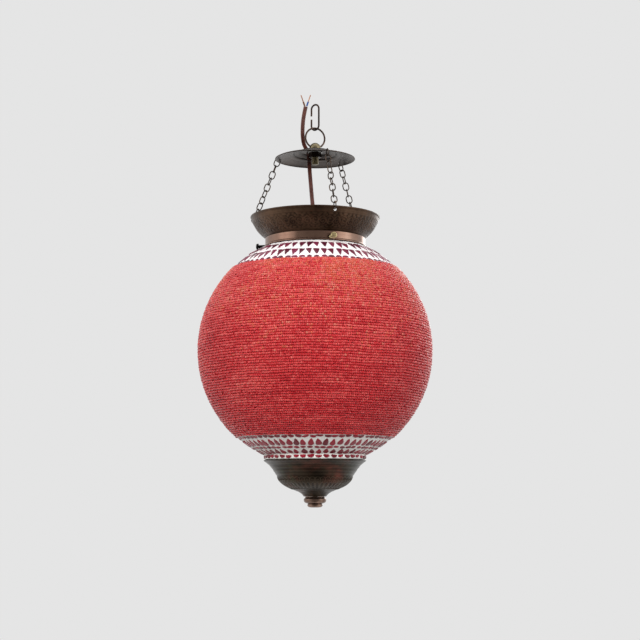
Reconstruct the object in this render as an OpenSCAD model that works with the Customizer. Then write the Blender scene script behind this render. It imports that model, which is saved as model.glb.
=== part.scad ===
// Beaded glass globe pendant lantern.
// A glass globe wrapped in strung seed beads, with mosaic bands above and below,
// hangs in a bronze gallery from three short chains, a pressed disc, a ring bolt,
// a ring and one open suspension link. A twin flex feeds the lampholder inside.
//
// Units are millimetres. +Z is up. The origin is the hanging point: the inside of
// the top bow of the suspension link, where a hook bears.

/* [Suspension] */
// Outside height of the suspension link
link_h = 30.8; // [28:0.2:34]
// Outside width of the suspension link
link_w = 12; // [11:0.5:14]
// Outside diameter of the hanging ring
ring_d = 24.5; // [24:0.1:25]
// Turn of the suspension link about the vertical
link_yaw = -35; // [-45:1:-25]
// Turn of the hanging ring about the vertical
ring_yaw = 20; // [15:1:25]

/* [Chains] */
// Number of links in each chain
chain_links = 10; // [9:1:11]
// Wire diameter of the chain links
chain_wire = 1.25; // [1.0:0.05:1.3]
// Outside width of a chain link
chain_w = 7.5; // [7.4:0.1:7.8]

/* [Globe] */
// Outside diameter of the bare glass globe
globe_d = 250; // [240:1:256]
// Glass wall thickness
globe_wall = 3; // [2.5:0.1:4]
// Thickness of the plaster under the mosaic
plaster_t = 1; // [0.8:0.1:1.2]
// Height of the bead wrap above the glass
bead_t = 3; // [2.6:0.1:3.4]
// Number of strung bead rows
bead_rows = 74; // [60:1:80]
// Polar angle where the bead wrap starts
bead_from = 45.6; // [45.5:0.1:46.5]
// Polar angle where the bead wrap stops
bead_to = 138.2; // [137:0.1:138.4]

/* [Mosaic] */
// Thickness of the mosaic tiles
tile_t = 1.2; // [0.8:0.1:1.6]
// Tiles in the first upper row
up1_n = 53; // [40:1:56]
// Tiles in the second upper row
up2_n = 63; // [48:1:66]
// Tiles in the scalloped row against the beads
up3_n = 72; // [54:1:76]
// Tiles in the scalloped row below the beads
lo1_n = 67; // [50:1:70]
// Tiles in the large teardrop row
lo2_n = 60; // [46:1:64]
// Tiles in the oval row
lo3_n = 60; // [46:1:62]
// Tiles in the small teardrop row
lo4_n = 48; // [36:1:50]
// Tiles in the row above the cup
lo5_n = 42; // [32:1:44]

/* [Fittings] */
// Sheet thickness of the disc, the dish, the collar and the cup
sheet = 0.9; // [0.8:0.05:1.0]
// Protrusion of the clamp screw heads from the collar
screw_out = 11.5; // [8:0.5:14]

/* [Hidden] */
$fn = 72;

eps = 0.02;              // gap between pieces that sit against each other
bronze = [0.24, 0.17, 0.12];
copper = [0.52, 0.32, 0.24];
brass = [0.72, 0.6, 0.36];
steel = [0.6, 0.6, 0.58];

// suspension
sus_wire = 2;
link_zb = 2 - link_h + sus_wire / 2;          // centreline of the bottom bow
ring_R = (ring_d - sus_wire) / 2;
ring_zt = link_zb + sus_wire + 0.05;          // ring centreline, top
ring_zb = ring_zt - 2 * ring_R;               // ring centreline, bottom
eye_hole_r = 2.2;
eye_z = ring_zb + 0.9;                        // cross hole of the ring bolt
eye_R = 6.4;
eye_zc = ring_zb - 0.55;                      // centre of the ball head
disc_z = eye_zc - 2.7;                        // top of the raised disc centre
shank_r = 4;
shank_zb = disc_z - 15.6;

// disc profile, top surface, heights below the raised centre
disc_pts = [[4.1, 0], [15.6, 0], [16.6, -0.3], [17.6, -1.0], [22.6, -3.0],
  [23.6, -2.6], [24.6, -3.3], [26.2, -4.2], [32, -5.5], [38, -6.7],
  [41.5, -7.7], [43.4, -8.6], [44.3, -9.3]];
hole_r1 = 40.1;

// chains
az = [168, 48, -72];                          // left, rear, front
A_r = 41.9;  A_z = disc_z - 7.83;             // inside top of the first link
dish_rim = disc_z - 75.6;                     // centreline of the rolled rim
B_r = 70.15;  B_z = dish_rim - 1.95;           // inside bottom of the last link
chain_L = norm([B_r - A_r, B_z - A_z]);
chain_a = atan2(B_r - A_r, A_z - B_z);
chain_g = 0.05;
link_in = ceil((chain_L + (chain_links - 1) * chain_g) / chain_links * 100) / 100;
link_p = (chain_L - link_in) / (chain_links - 1);
link_turn = (chain_links % 2 == 0 ? 90 * chain_links : 90 * (chain_links - 1)) / (chain_links - 1);  // last link lines up with the first

// gallery
gz = dish_rim - 22.1;                         // top face of the dish floor
dish_pts = [[70.35, 21.2], [69.95, 19.4], [69.3, 17.4], [68.2, 15.2],
  [66.4, 12.0], [64.0, 8.4], [61.0, 5.0], [58.2, 2.2], [56.0, 0.35],
  [55.2, -sheet], [46, -sheet]];
dish_hole_z = dish_rim - 3.1;
col_r = 55;
col_zb = gz - 11.4;
bore_z = gz - 7.8;                            // clamp screw height
rivet_r = 49.4;

// globe
R = globe_d / 2;
neck_r = 50;
neck_z = gz - 10.2;                           // where the neck leaves the sphere
zc = neck_z - sqrt(R * R - neck_r * neck_r);
zb = zc - R;
lip_z = gz - 3.2;
Rp = R + plaster_t;

// flex
core_r = 1.25;
core_x = 1;
flex_hole = [-7.4, 9.8];
flex_ctl = [[-10.4, -7, -2.9], [-12.2, -6.6, -11.6], [-13.4, -5.6, -20], [-13.9, -3.6, -28.1],
  [-13.7, 0.2, -36], [-12.3, 5.0, -43], [flex_hole[0] - 1.2, flex_hole[1] - 1.1, disc_z + 1.8],
  [flex_hole[0] + 0.3, flex_hole[1] + 0.3, disc_z - 3], [-6.6, 8.9, disc_z - 10],
  [-6.1, 6.4, -72.1], [-4.6, 3.2, -90.8], [-3.0, 1.2, -109.4], [-1.2, 0.2, -124],
  [-0.12, 0, gz + 17], [0, 0, gz + 12], [0, 0, gz + 6], [0, 0, gz - 5.5]];
flex_sub = 3;

// clamp screws
m4_r = 2;
m4_bore = 2.05;
tip_in = neck_r + 0.06;
head_out = col_r + screw_out;

// lampholder heights below the dish floor
hz = gz - sheet - 2.15;                       // top of the holder cap

function unit2(v) = v / norm(v);
function nrm2(a, b) = let (d = unit2(b - a)) [-d[1], d[0]];
function vnorm(p, i) = let (n = len(p),
  a = i == 0 ? nrm2(p[0], p[1]) : nrm2(p[i - 1], p[i]),
  b = i == n - 1 ? nrm2(p[n - 2], p[n - 1]) : nrm2(p[i], p[i + 1]),
  s = unit2(a + b)) s / max(0.6, s * a);
function skin(p, t) = concat(p, [for (i = [len(p) - 1:-1:0]) p[i] - t * vnorm(p, i)]);

module rod(p, q, r) {
  d = q - p;
  translate(p)
    rotate([0, atan2(norm([d[0], d[1]]), d[2]), atan2(d[1], d[0])])
      cylinder(r = r, h = norm(d));
}

// smooth curve through the control points
function spline(p, n) = [for (i = [0:len(p) - 2], k = [0:(i == len(p) - 2 ? n : n - 1)])
  let (t = k / n, a = p[max(i - 1, 0)], b = p[i], c = p[i + 1], d = p[min(i + 2, len(p) - 1)])
  0.5 * (2 * b + (c - a) * t + (2 * a - 5 * b + 4 * c - d) * t * t + (3 * b - a - 3 * c + d) * t * t * t)];

// carries an outline along part of a curve; the outline's x stays near the X axis
module sweep(path, i0, i1, prof) {
  n = i1 - i0 + 1;
  m = len(prof);
  pts = [for (i = [i0:i1]) let (
      t = unit2(path[min(i + 1, len(path) - 1)] - path[max(i - 1, 0)]),
      x = unit2([1, 0, 0] - t[0] * t), y = cross(t, x),
      c = path[i] + (i == i0 ? 0.01 : i == i1 ? -0.01 : 0) * t)
    each [for (q = prof) c + q[0] * x + q[1] * y]];
  polyhedron(points = pts, faces = concat([[for (j = [m - 1:-1:0]) j]], [[for (j = [0:m - 1]) (n - 1) * m + j]],
    [for (i = [0:n - 2], j = [0:m - 1]) [i * m + j, i * m + (j + 1) % m, (i + 1) * m + (j + 1) % m]],
    [for (i = [0:n - 2], j = [0:m - 1]) [i * m + j, (i + 1) * m + (j + 1) % m, (i + 1) * m + j]]));
}

// closed oval link in the XZ plane, centred
module oval_link(ow, inner, w) {
  lr = (ow - w) / 2;
  s = inner / 2 + w / 2 - lr;
  for (e = [0, 180]) rotate([0, e, 0]) translate([0, 0, s]) rotate([90, 0, 0])
    rotate_extrude(angle = 180, $fn = 36) translate([lr, 0]) circle(d = w, $fn = 24);
  // the legs run 0.4 micron into the bows so that the link is one solid
  for (x = [-lr, lr]) translate([x, 0, -s - 0.0004]) cylinder(d = w, h = 2 * s + 0.0008, $fn = 24);
}

module hex(af, h) {
  cylinder(r = af / sqrt(3), h = h, $fn = 6);
}

module ring_solid(ro, ri, h) {
  difference() {
    cylinder(r = ro, h = h);
    translate([0, 0, -1]) cylinder(r = ri, h = h + 2);
  }
}

// ---------------------------------------------------------------- suspension

module suspension_link() {
  color(bronze) rotate([0, 0, link_yaw]) difference() {
    translate([0, 0, 2 - link_h / 2]) oval_link(link_w, link_h - 2 * sus_wire, sus_wire);
    translate([-link_w / 2 - 1, -3, 2 - link_h / 2 - 2]) cube([4, 6, 4]);
  }
}

module hanging_ring() {
  color(bronze) rotate([0, 0, ring_yaw]) translate([0, 0, (ring_zt + ring_zb) / 2])
    rotate([90, 0, 0]) rotate_extrude() translate([ring_R, 0]) circle(d = sus_wire, $fn = 32);
}

module ring_bolt() {
  color(brass * 0.85) difference() {
    union() {
      intersection() {
        translate([0, 0, eye_zc]) sphere(r = eye_R);
        translate([-10, -10, disc_z + eps]) cube([20, 20, 20]);
      }
      translate([0, 0, shank_zb + 0.6]) cylinder(r = shank_r, h = disc_z + 1 - shank_zb);
      translate([0, 0, shank_zb]) cylinder(r1 = shank_r - 0.6, r2 = shank_r, h = 0.6);
    }
    rotate([0, 0, ring_yaw]) translate([0, 0, eye_z]) rotate([0, 90, 0])
      cylinder(r = eye_hole_r, h = 30, center = true);
  }
}

module top_disc() {
  color(bronze) difference() {
    translate([0, 0, disc_z]) rotate_extrude() polygon(skin(disc_pts, sheet));
    for (a = az) rotate([0, 0, a]) translate([hole_r1, 0, disc_z - 14]) cylinder(r = 1.6, h = 14);
    translate([flex_hole[0], flex_hole[1], disc_z - 4]) cylinder(r = 3.3, h = 8);
  }
}

module disc_washer() {
  color(steel) translate([0, 0, disc_z - sheet - eps - 1.2]) ring_solid(8, 4.2, 1.2);
}

module disc_nut() {
  color(bronze) translate([0, 0, disc_z - sheet - 2 * eps - 1.2 - 5.5]) difference() {
    hex(12.4, 5.5);
    translate([0, 0, -1]) cylinder(r = shank_r + 0.02, h = 8);
  }
}

module chain_at(a) {
  rotate([0, 0, a]) translate([A_r, 0, A_z]) rotate([0, -chain_a, 0])
    for (i = [0:chain_links - 1])
      translate([0, 0, -link_in / 2 - i * link_p]) rotate([0, 0, i * link_turn])
        oval_link(chain_w, link_in, chain_wire);
}

module chain_left() { color(bronze) chain_at(az[0]); }
module chain_rear() { color(bronze) chain_at(az[1]); }
module chain_front() { color(bronze) chain_at(az[2]); }

// ---------------------------------------------------------------------- flex

twin_prof = concat(
  [for (k = [0:7]) [-core_x, 0] + core_r * [cos(40 + 40 * k), sin(40 + 40 * k)]],
  [for (k = [0:5]) [core_x, 0] + core_r * [cos(260 + 40 * k), sin(260 + 40 * k)]]);
flex_path = spline(flex_ctl, flex_sub);
i_mid = 3 * flex_sub;
i_low = 8 * flex_sub;

module flex_top() { color([0.28, 0.13, 0.1]) sweep(flex_path, 0, i_mid, twin_prof); }
module flex_mid() { color([0.28, 0.13, 0.1]) sweep(flex_path, i_mid, i_low, twin_prof); }
module flex_low() { color([0.28, 0.13, 0.1]) sweep(flex_path, i_low, len(flex_path) - 1, twin_prof); }

core_dir = [[-0.34, -0.1, 1], [0.34, -0.1, 1]];
core_p0 = [[-11.4, -7, -2.75], [-9.4, -7, -2.75]];
function along(i, s) = core_p0[i] + s * core_dir[i] / norm(core_dir[i]);

module core_sleeve(i) {
  difference() {
    rod(along(i, 1), along(i, 5.4), 0.95);
    rod(along(i, 0), along(i, 6), 0.42);
  }
}
module live_core() { color([0.35, 0.18, 0.08]) core_sleeve(0); }
module neutral_core() { color([0.12, 0.22, 0.5]) core_sleeve(1); }
module conductor(i) {
  color([0.75, 0.45, 0.25]) {
    rod(along(i, 1.1), along(i, 5.5), 0.4);
    rod(along(i, 5.45), along(i, 13.45), 0.6);
  }
}
module live_conductor() { conductor(0); }
module neutral_conductor() { conductor(1); }

// ------------------------------------------------------------------- gallery

module gallery_dish() {
  color(bronze) difference() {
    union() {
      translate([0, 0, gz]) rotate_extrude() polygon(skin(dish_pts, sheet));
      translate([0, 0, dish_rim]) rotate_extrude() translate([70.2, 0]) circle(r = 1.1, $fn = 32);
    }
    for (a = az) rotate([0, 0, a]) translate([69.6, 0, dish_hole_z]) rotate([0, 105, 0])
      cylinder(r = 1.7, h = 8, center = true);
    for (a = [20:90:290]) rotate([0, 0, a]) translate([rivet_r, 0, gz - 5]) cylinder(r = 1.55, h = 10);
  }
}

module gallery_collar() {
  color(copper) difference() {
    union() {
      translate([0, 0, gz - sheet - eps]) rotate_extrude()
        polygon([[46.5, 0], [54.6, 0], [55, -0.4], [col_r, col_zb - gz + 2.2],
          [55.8, col_zb - gz + 1.7], [55.8, col_zb - gz + 1.1], [55.2, col_zb - gz + sheet],
          [54.2, col_zb - gz + sheet], [54.2, -sheet], [46.5, -sheet]]);
      for (a = az) rotate([0, 0, a]) translate([0, 0, bore_z]) rotate([0, 90, 0])
        translate([0, 0, 52.4]) cylinder(r = 3.2, h = 2.2);
    }
    for (a = az) rotate([0, 0, a]) translate([0, 0, bore_z]) rotate([0, 90, 0])
      translate([0, 0, 50]) cylinder(r = m4_bore, h = 8);
    for (a = [20:90:290]) rotate([0, 0, a]) translate([rivet_r, 0, gz - 5]) cylinder(r = 1.55, h = 10);
  }
}

module gallery_rivets() {
  color(copper) for (k = [0:3]) {
    t = k % 2 == 0 ? 1.5 + eps : 0;              // two of them also hold the bracket
    rotate([0, 0, 20 + 90 * k]) translate([rivet_r, 0, gz]) {
      translate([0, 0, -2 * sheet - 2 * eps - 0.32]) cylinder(r = 1.5, h = 2 * sheet + 0.96 + t);
      translate([0, 0, t + 0.03]) cylinder(r1 = 2.7, r2 = 1.6, h = 1.1);
      translate([0, 0, -2 * sheet - 2 * eps - 0.62]) cylinder(r = 2.5, h = 0.6);
    }
  }
}

module holder_bracket() {
  color(steel) rotate([0, 0, 20]) translate([0, 0, gz + eps]) difference() {
    intersection() {
      translate([-53, -6.5, 0]) cube([106, 13, 1.5]);
      cylinder(r = 52.6, h = 2);
    }
    translate([0, 0, -1]) cylinder(r = 5.1, h = 4);
    for (s = [-1, 1]) translate([s * rivet_r, 0, -1]) cylinder(r = 1.55, h = 4);
  }
}

module hollow_nipple() {
  color(brass) translate([0, 0, hz - 4]) ring_solid(5, 3.6, gz + 6.5 - hz + 4);
}

module nipple_nut(z) {
  translate([0, 0, z]) difference() {
    hex(14, 2);
    translate([0, 0, -1]) cylinder(r = 5.02, h = 4);
  }
}
module nipple_nut_upper() { color(brass) nipple_nut(gz + 1.5 + 2 * eps); }
module nipple_nut_lower() { color(brass) nipple_nut(gz - 2 - eps + eps); }

module cord_grip() {
  color([0.1, 0.1, 0.1]) translate([0, 0, gz + 6.5 + eps]) difference() {
    union() {
      cylinder(r = 5.6, h = 3);
      translate([0, 0, 3]) cylinder(r1 = 5.6, r2 = 4.4, h = 3);
    }
    for (x = [-core_x, core_x]) translate([x, 0, -1]) cylinder(r = core_r + 0.12, h = 9);
  }
}

// --------------------------------------------------------------- lampholder

module holder_cap() {
  color(brass) translate([0, 0, hz]) rotate_extrude()
    polygon(skin([[5.1, 0], [10, 0], [14.2, -1.2], [17.2, -3.6], [19, -7], [19.6, -11], [19.6, -17.6]], 1));
}

module holder_skirt() {
  color(brass) translate([0, 0, hz]) rotate_extrude()
    polygon([[19.6, -17.7], [20, -18.4], [20, -52], [19, -54], [16.2, -54], [16.2, -53],
      [18.6, -53], [19, -51.6], [19, -18.6], [18.7, -17.7]]);
}

module holder_insert() {
  color([0.93, 0.92, 0.88]) translate([0, 0, hz]) difference() {
    translate([0, 0, -52.4]) cylinder(r = 18.4, h = 33.9);
    translate([0, 0, -53]) cylinder(r = 14.6, h = 24.6);
    for (x = [-11, 11]) translate([x, 0, -25]) cylinder(r = 1.6, h = 10);
    translate([0, 0, -30]) cylinder(r = 1.3, h = 15);
  }
}

module holder_thread_shell() {
  color(brass) translate([0, 0, hz - 51.8]) ring_solid(14.5, 13.6, 22.4);
}

module holder_contact() {
  color(brass) translate([0, 0, hz]) {
    translate([0, 0, -29.4]) cylinder(r = 4, h = 0.8);
    translate([0, 0, -28.8]) cylinder(r = 1.2, h = 9.6);
  }
}

module terminal_screws() {
  color(steel) for (x = [-11, 11]) translate([x, 0, hz]) {
    translate([0, 0, -23.5]) cylinder(r = 1.5, h = 7.4);
    difference() {
      translate([0, 0, -16.2]) cylinder(r = 2.9, h = 1.8);
      translate([-4, -0.35, -15.2]) cube([8, 0.7, 2]);
    }
  }
}

module lead(s) {
  p = spline([[s * 1.7, 0, gz - 5.7], [s * 2, 0, hz - 5.4], [s * 6.4, 0, hz - 10.5], [s * 9.2, 0, hz - 13.2]], 3);
  color([0.5, 0.3, 0.2]) sweep(p, 0, len(p) - 1, [for (k = [0:7]) 0.9 * [cos(45 * k), sin(45 * k)]]);
}
module lead_live() { lead(-1); }
module lead_neutral() { lead(1); }

// --------------------------------------------------------------- clamp screws

module screw_at(a) {
  rotate([0, 0, a]) translate([0, 0, bore_z]) rotate([0, 90, 0]) difference() {
    union() {
      translate([0, 0, tip_in + 1.65]) cylinder(r = m4_r, h = head_out - 2.4 - tip_in - 1.65);
      translate([0, 0, head_out - 2.6]) cylinder(r = 3.5, h = 2.6);
    }
    translate([0, 0, tip_in]) cylinder(r = 0.95, h = 4.2);
    translate([-0.45, -5, head_out - 1.2]) cube([0.9, 10, 2]);
  }
}

module tip_at(a) {
  rotate([0, 0, a]) translate([0, 0, bore_z]) rotate([0, 90, 0]) {
    translate([0, 0, tip_in]) cylinder(r = 1.8, h = 1.6);
    translate([0, 0, tip_in + 1.5]) cylinder(r = 0.9, h = 2.5);
  }
}

module screw_left() { color([0.08, 0.08, 0.08]) screw_at(az[0]); }
module screw_rear() { color(brass) screw_at(az[1]); }
module screw_front() { color(brass) screw_at(az[2]); }
module tip_left() { color([0.15, 0.15, 0.15]) tip_at(az[0]); }
module tip_rear() { color([0.15, 0.15, 0.15]) tip_at(az[1]); }
module tip_front() { color([0.15, 0.15, 0.15]) tip_at(az[2]); }

// --------------------------------------------------------------------- bulb

bulb_z = hz - 29.6;                           // tip of the centre contact
bulb_pts = [[12.4, -25.2], [13.2, -32], [16.2, -40], [21.8, -50], [26.6, -58.5],
  [29.3, -67], [30, -76], [28.9, -85], [25.6, -93.5], [20, -100.6], [12.4, -105.6], [0.9, -107.9]];

module bulb_contact() {
  color([0.7, 0.7, 0.7]) translate([0, 0, bulb_z - 2.4]) cylinder(r1 = 4.6, r2 = 3, h = 2.3);
}

module bulb_cap() {
  color([0.75, 0.75, 0.72]) translate([0, 0, bulb_z]) rotate_extrude()
    polygon([[4.7, -2.5], [9, -2.7], [13.15, -5], [13.15, -25.1], [12.3, -25.1], [12.3, -5.8],
      [8.6, -3.7], [4.7, -3.5]]);
}

module bulb_glass() {
  color([0.95, 0.95, 0.92, 0.7]) translate([0, 0, bulb_z]) rotate_extrude()
    polygon(concat([[0.01, -107.9]], [for (i = [len(bulb_pts) - 1:-1:0]) bulb_pts[i]],
      [[11.5, -25.2]], [for (i = [1:len(bulb_pts) - 2]) bulb_pts[i] - [0.9, 0]], [[0.01, -107.0]]));
}

// -------------------------------------------------------------------- globe

module cut_cone(t, lo, hi, s) {
  // solid of revolution round the globe axis between two polar angles
  rotate_extrude() polygon(concat([[0, 0]], [for (k = [0:6]) let (a = lo + (hi - lo) * k / 6)
    [s * sin(a), s * cos(a)]]));
}

module glass_globe() {
  color([0.85, 0.75, 0.7, 0.5]) difference() {
    union() {
      translate([0, 0, zc]) sphere(r = R, $fn = 120);
      translate([0, 0, neck_z - 6]) cylinder(r = neck_r, h = lip_z - neck_z + 6);
      translate([0, 0, lip_z - 1.8]) cylinder(r = neck_r + 1.6, h = 1.8);
    }
    translate([0, 0, zc]) sphere(r = R - globe_wall, $fn = 120);
    translate([0, 0, neck_z - 12]) cylinder(r = neck_r - globe_wall, h = 40);
    translate([0, 0, zb - 5]) cylinder(r = 5.5, h = 12);
  }
}

module plaster_upper() {
  color([0.93, 0.92, 0.9]) translate([0, 0, zc]) intersection() {
    difference() {
      sphere(r = Rp, $fn = 120);
      sphere(r = R + eps, $fn = 120);
    }
    cut_cone(0, 26.8, bead_from - 0.1, Rp * 1.3);
  }
}

skirt_r = 54.6;
module plaster_lower() {
  color([0.85, 0.8, 0.7]) union() {
    translate([0, 0, zc]) intersection() {
      difference() {
        sphere(r = Rp, $fn = 120);
        sphere(r = R + eps, $fn = 120);
      }
      cut_cone(0, bead_to + 0.1, 160.2, Rp * 1.3);
    }
    difference() {
      translate([0, 0, zb + 6.05]) cylinder(r1 = skirt_r - 0.7, r2 = skirt_r, h = 6.2);
      translate([0, 0, zc]) sphere(r = R + 0.5, $fn = 120);
      translate([0, 0, zb - 1]) cylinder(r = 44, h = 16);
    }
  }
}

// tile outlines: x runs down the globe, y runs round it
function tri(h, w) = [[-h / 2, -w / 2], [-h / 2, w / 2], [-h / 4, w / 2.3], [h / 2, 0.35],
  [h / 2, -0.35], [-h / 4, -w / 2.3]];
function drop(h, w) = [[-h / 2, 0], [-h / 6, -w / 3], [h / 5, -w / 2], [h / 2.4, -w / 2.8], [h / 2, 0],
  [h / 2.4, w / 2.8], [h / 5, w / 2], [-h / 6, w / 3]];
function dome(h, w) = [[h / 2, -w / 2], [h / 2, w / 2], [0, w / 2.15], [-h / 3, w / 3.4], [-h / 2, 0],
  [-h / 3, -w / 3.4], [0, -w / 2.15]];
function bowl(h, w) = [for (p = dome(h, w)) [-p[0], p[1]]];
function oval(h, w) = [for (k = [0:7]) [h / 2 * cos(45 * k + 22.5), w / 2 * sin(45 * k + 22.5)] / cos(22.5)];

module row(n, t, pts, off) {
  for (k = [0:n - 1])
    translate([0, 0, zc]) rotate([0, t, 360 * (k + off) / n]) translate([0, 0, Rp + 0.12])
      linear_extrude(tile_t - 0.12) polygon(pts);
}

module tiles_upper() {
  color([0.35, 0.06, 0.12]) {
    row(up1_n, 33, tri(12.6, 6.9), 0);
    row(up2_n, 40.2, tri(11.8, 7.0), 0.5);
    row(up3_n, 44.55, dome(2.9, 6.5), 0.25);
  }
}

module tiles_lower() {
  color([0.5, 0.03, 0.1]) {
    row(lo1_n, 139.75, bowl(2.8, 6.9), 0);
    row(lo2_n, 143.9, drop(11.2, 6.2), 0.5);
    row(lo3_n, 148.0, oval(3.4, 6.2), 0.25);
    row(lo4_n, 151.6, drop(9.6, 5.8), 0.5);
    for (k = [0:lo5_n - 1]) rotate([0, 0, 360 * k / lo5_n]) translate([skirt_r + 0.06, 0, zb + 8.6])
      rotate([0, 90, 0]) linear_extrude(0.8) polygon(bowl(3.3, 6.6));
  }
}

module bead_wrap() {
  color([0.75, 0.1, 0.13]) translate([0, 0, zc]) rotate_extrude() polygon(concat(
    [for (i = [0:bead_rows - 1]) each let (d = (bead_to - bead_from) / bead_rows, a = bead_from + i * d,
      r0 = R + bead_t - 0.75, r1 = R + bead_t)
      [[r0 * sin(a), r0 * cos(a)], [r1 * sin(a + 0.3 * d), r1 * cos(a + 0.3 * d)],
       [r1 * sin(a + 0.7 * d), r1 * cos(a + 0.7 * d)]]],
    [[(R + bead_t - 0.75) * sin(bead_to), (R + bead_t - 0.75) * cos(bead_to)]],
    [for (k = [0:30]) let (a = bead_to + (bead_from - bead_to) * k / 30)
      [(R + 0.12) * sin(a), (R + 0.12) * cos(a)]]));
}

// ------------------------------------------------------------------- finial

module finial_stud() {
  color(steel) translate([0, 0, zb - 41.5]) cylinder(r = 3, h = 56);
}

module stud_nut_at(z) {
  translate([0, 0, z]) difference() {
    hex(10, 5);
    translate([0, 0, -1]) cylinder(r = 3.02, h = 7);
  }
}
module stud_nuts() {
  color(brass) {
    stud_nut_at(zb + globe_wall + 4);
    stud_nut_at(zb - 8.4);
  }
}
module stud_washers() {
  color(steel) {
    translate([0, 0, zb + globe_wall + 2.75]) ring_solid(11, 3.2, 1.2);
    translate([0, 0, zb - 3.35]) ring_solid(14, 3.2, 1.2);
  }
}
module stud_gaskets() {
  color([0.12, 0.12, 0.12]) {
    translate([0, 0, zb + globe_wall + 0.7]) ring_solid(12, 3.2, 2);
    translate([0, 0, zb - 2.1]) ring_solid(12, 3.2, 2);
  }
}
module stud_spacer() {
  color(brass) translate([0, 0, zb - 33.2 + sheet + 0.05]) ring_solid(5, 3.3, 33.2 - sheet - 8.5);
}

cup_pts = [[55.3, 4.9], [53.0, 3.2], [50.4, 1.2], [48.0, -1.4], [45.7, -4.4], [43.4, -7.9],
  [41.7, -10.2], [41.0, -12], [39.6, -15.2], [37.2, -18.2], [34.0, -20.8], [30.6, -22.8],
  [26, -24.9], [20.9, -26.9], [17, -28.6], [14.4, -30.5], [12.8, -32.3], [12.2, -33.2], [3.3, -33.2]];

module bottom_cup() {
  color(bronze * 1.3) translate([0, 0, zb]) union() {
    rotate_extrude() polygon(skin(cup_pts, sheet));
    translate([0, 0, 5.2]) rotate_extrude() translate([54.9, 0]) circle(r = 0.65, $fn = 24);
  }
}

module finial_knob() {
  color(bronze * 1.5) translate([0, 0, zb]) rotate_extrude()
    polygon([[3.05, -33.25], [10.5, -33.25], [10.5, -34.2], [11.3, -34.8], [12, -36.2], [12, -38.2],
      [11.3, -39.6], [9.4, -40.5], [7.9, -40.9], [8.3, -42.2], [7.9, -43.6], [6.4, -44.7], [0, -45.1],
      [0, -42.5], [3.05, -42.5]]);
}

suspension_link();
hanging_ring();
ring_bolt();
top_disc();
disc_washer();
disc_nut();
chain_left();
chain_rear();
chain_front();
flex_top();
flex_mid();
flex_low();
live_core();
neutral_core();
live_conductor();
neutral_conductor();
gallery_dish();
gallery_collar();
gallery_rivets();
holder_bracket();
hollow_nipple();
nipple_nut_upper();
nipple_nut_lower();
cord_grip();
holder_cap();
holder_skirt();
holder_insert();
holder_thread_shell();
holder_contact();
terminal_screws();
lead_live();
lead_neutral();
screw_left();
screw_rear();
screw_front();
tip_left();
tip_rear();
tip_front();
bulb_glass();
bulb_cap();
bulb_contact();
glass_globe();
plaster_upper();
plaster_lower();
tiles_upper();
tiles_lower();
bead_wrap();
finial_stud();
stud_nuts();
stud_washers();
stud_gaskets();
stud_spacer();
bottom_cup();
finial_knob();
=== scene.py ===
import bpy, bmesh, math
import numpy as np
from mathutils import Vector, Matrix


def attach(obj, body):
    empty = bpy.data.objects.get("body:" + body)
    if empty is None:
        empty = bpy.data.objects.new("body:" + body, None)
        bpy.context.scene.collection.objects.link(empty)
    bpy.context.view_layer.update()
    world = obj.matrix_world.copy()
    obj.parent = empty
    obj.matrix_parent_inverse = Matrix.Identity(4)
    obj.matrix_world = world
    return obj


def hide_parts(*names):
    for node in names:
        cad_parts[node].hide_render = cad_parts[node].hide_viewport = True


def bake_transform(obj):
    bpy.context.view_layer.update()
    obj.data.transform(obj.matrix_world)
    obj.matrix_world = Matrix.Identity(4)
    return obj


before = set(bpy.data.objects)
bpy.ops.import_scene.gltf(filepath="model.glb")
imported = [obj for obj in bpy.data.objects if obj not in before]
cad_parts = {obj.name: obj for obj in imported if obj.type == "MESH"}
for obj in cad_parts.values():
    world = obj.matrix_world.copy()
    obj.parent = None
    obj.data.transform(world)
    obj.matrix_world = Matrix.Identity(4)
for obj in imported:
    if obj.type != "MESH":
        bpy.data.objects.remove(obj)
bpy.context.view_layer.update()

MM = 0.001
PI = math.pi
rng = np.random.default_rng(20)

# ------------------------------------------------------------- dimensions, mm
DISC_Z = -51.5
GZ = -149.2
HZ = -152.25
RIM_Z = -127.1
NECK_Z = -159.4
R = 125.0
ZC = NECK_Z - math.sqrt(R * R - 2500.0)
ZB = ZC - R
RP = R + 1.0
AZ = {"left": 168.0, "rear": 48.0, "front": -72.0}
LINK_YAW, RING_YAW = -35.0, 20.0
LINK_ZB = -27.8
RING_R = 11.25
RING_ZB = -48.25
EYE_Z, EYE_ZC, EYE_R = -47.35, -48.8, 6.4
BEAD_FROM, BEAD_TO, BEAD_ROWS = 45.6, 138.2, 74


# ------------------------------------------------------------------ materials
def new_mat(name):
    m = bpy.data.materials.new(name)
    m.use_nodes = True
    nt = m.node_tree
    return m, nt, nt.nodes["Principled BSDF"]


def flat(name, rgb, metallic=0.0, rough=0.4, **kw):
    m, nt, b = new_mat(name)
    b.inputs["Base Color"].default_value = (*rgb, 1)
    b.inputs["Metallic"].default_value = metallic
    b.inputs["Roughness"].default_value = rough
    for k, v in kw.items():
        b.inputs[k].default_value = v
    m.diffuse_color = (*rgb, 1)
    return m


def noise(nt, scale, detail=4.0, rough=0.6, dist=0.0, vec=None, stretch=None):
    n = nt.nodes.new("ShaderNodeTexNoise")
    n.inputs["Scale"].default_value = scale
    n.inputs["Detail"].default_value = detail
    n.inputs["Roughness"].default_value = rough
    n.inputs["Distortion"].default_value = dist
    if vec is None:
        t = nt.nodes.new("ShaderNodeTexCoord")
        vec = t.outputs["Object"]
    if stretch is not None:
        mp = nt.nodes.new("ShaderNodeMapping")
        mp.inputs["Scale"].default_value = stretch
        nt.links.new(vec, mp.inputs["Vector"])
        vec = mp.outputs["Vector"]
    nt.links.new(vec, n.inputs["Vector"])
    return n.outputs["Fac"]


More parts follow.
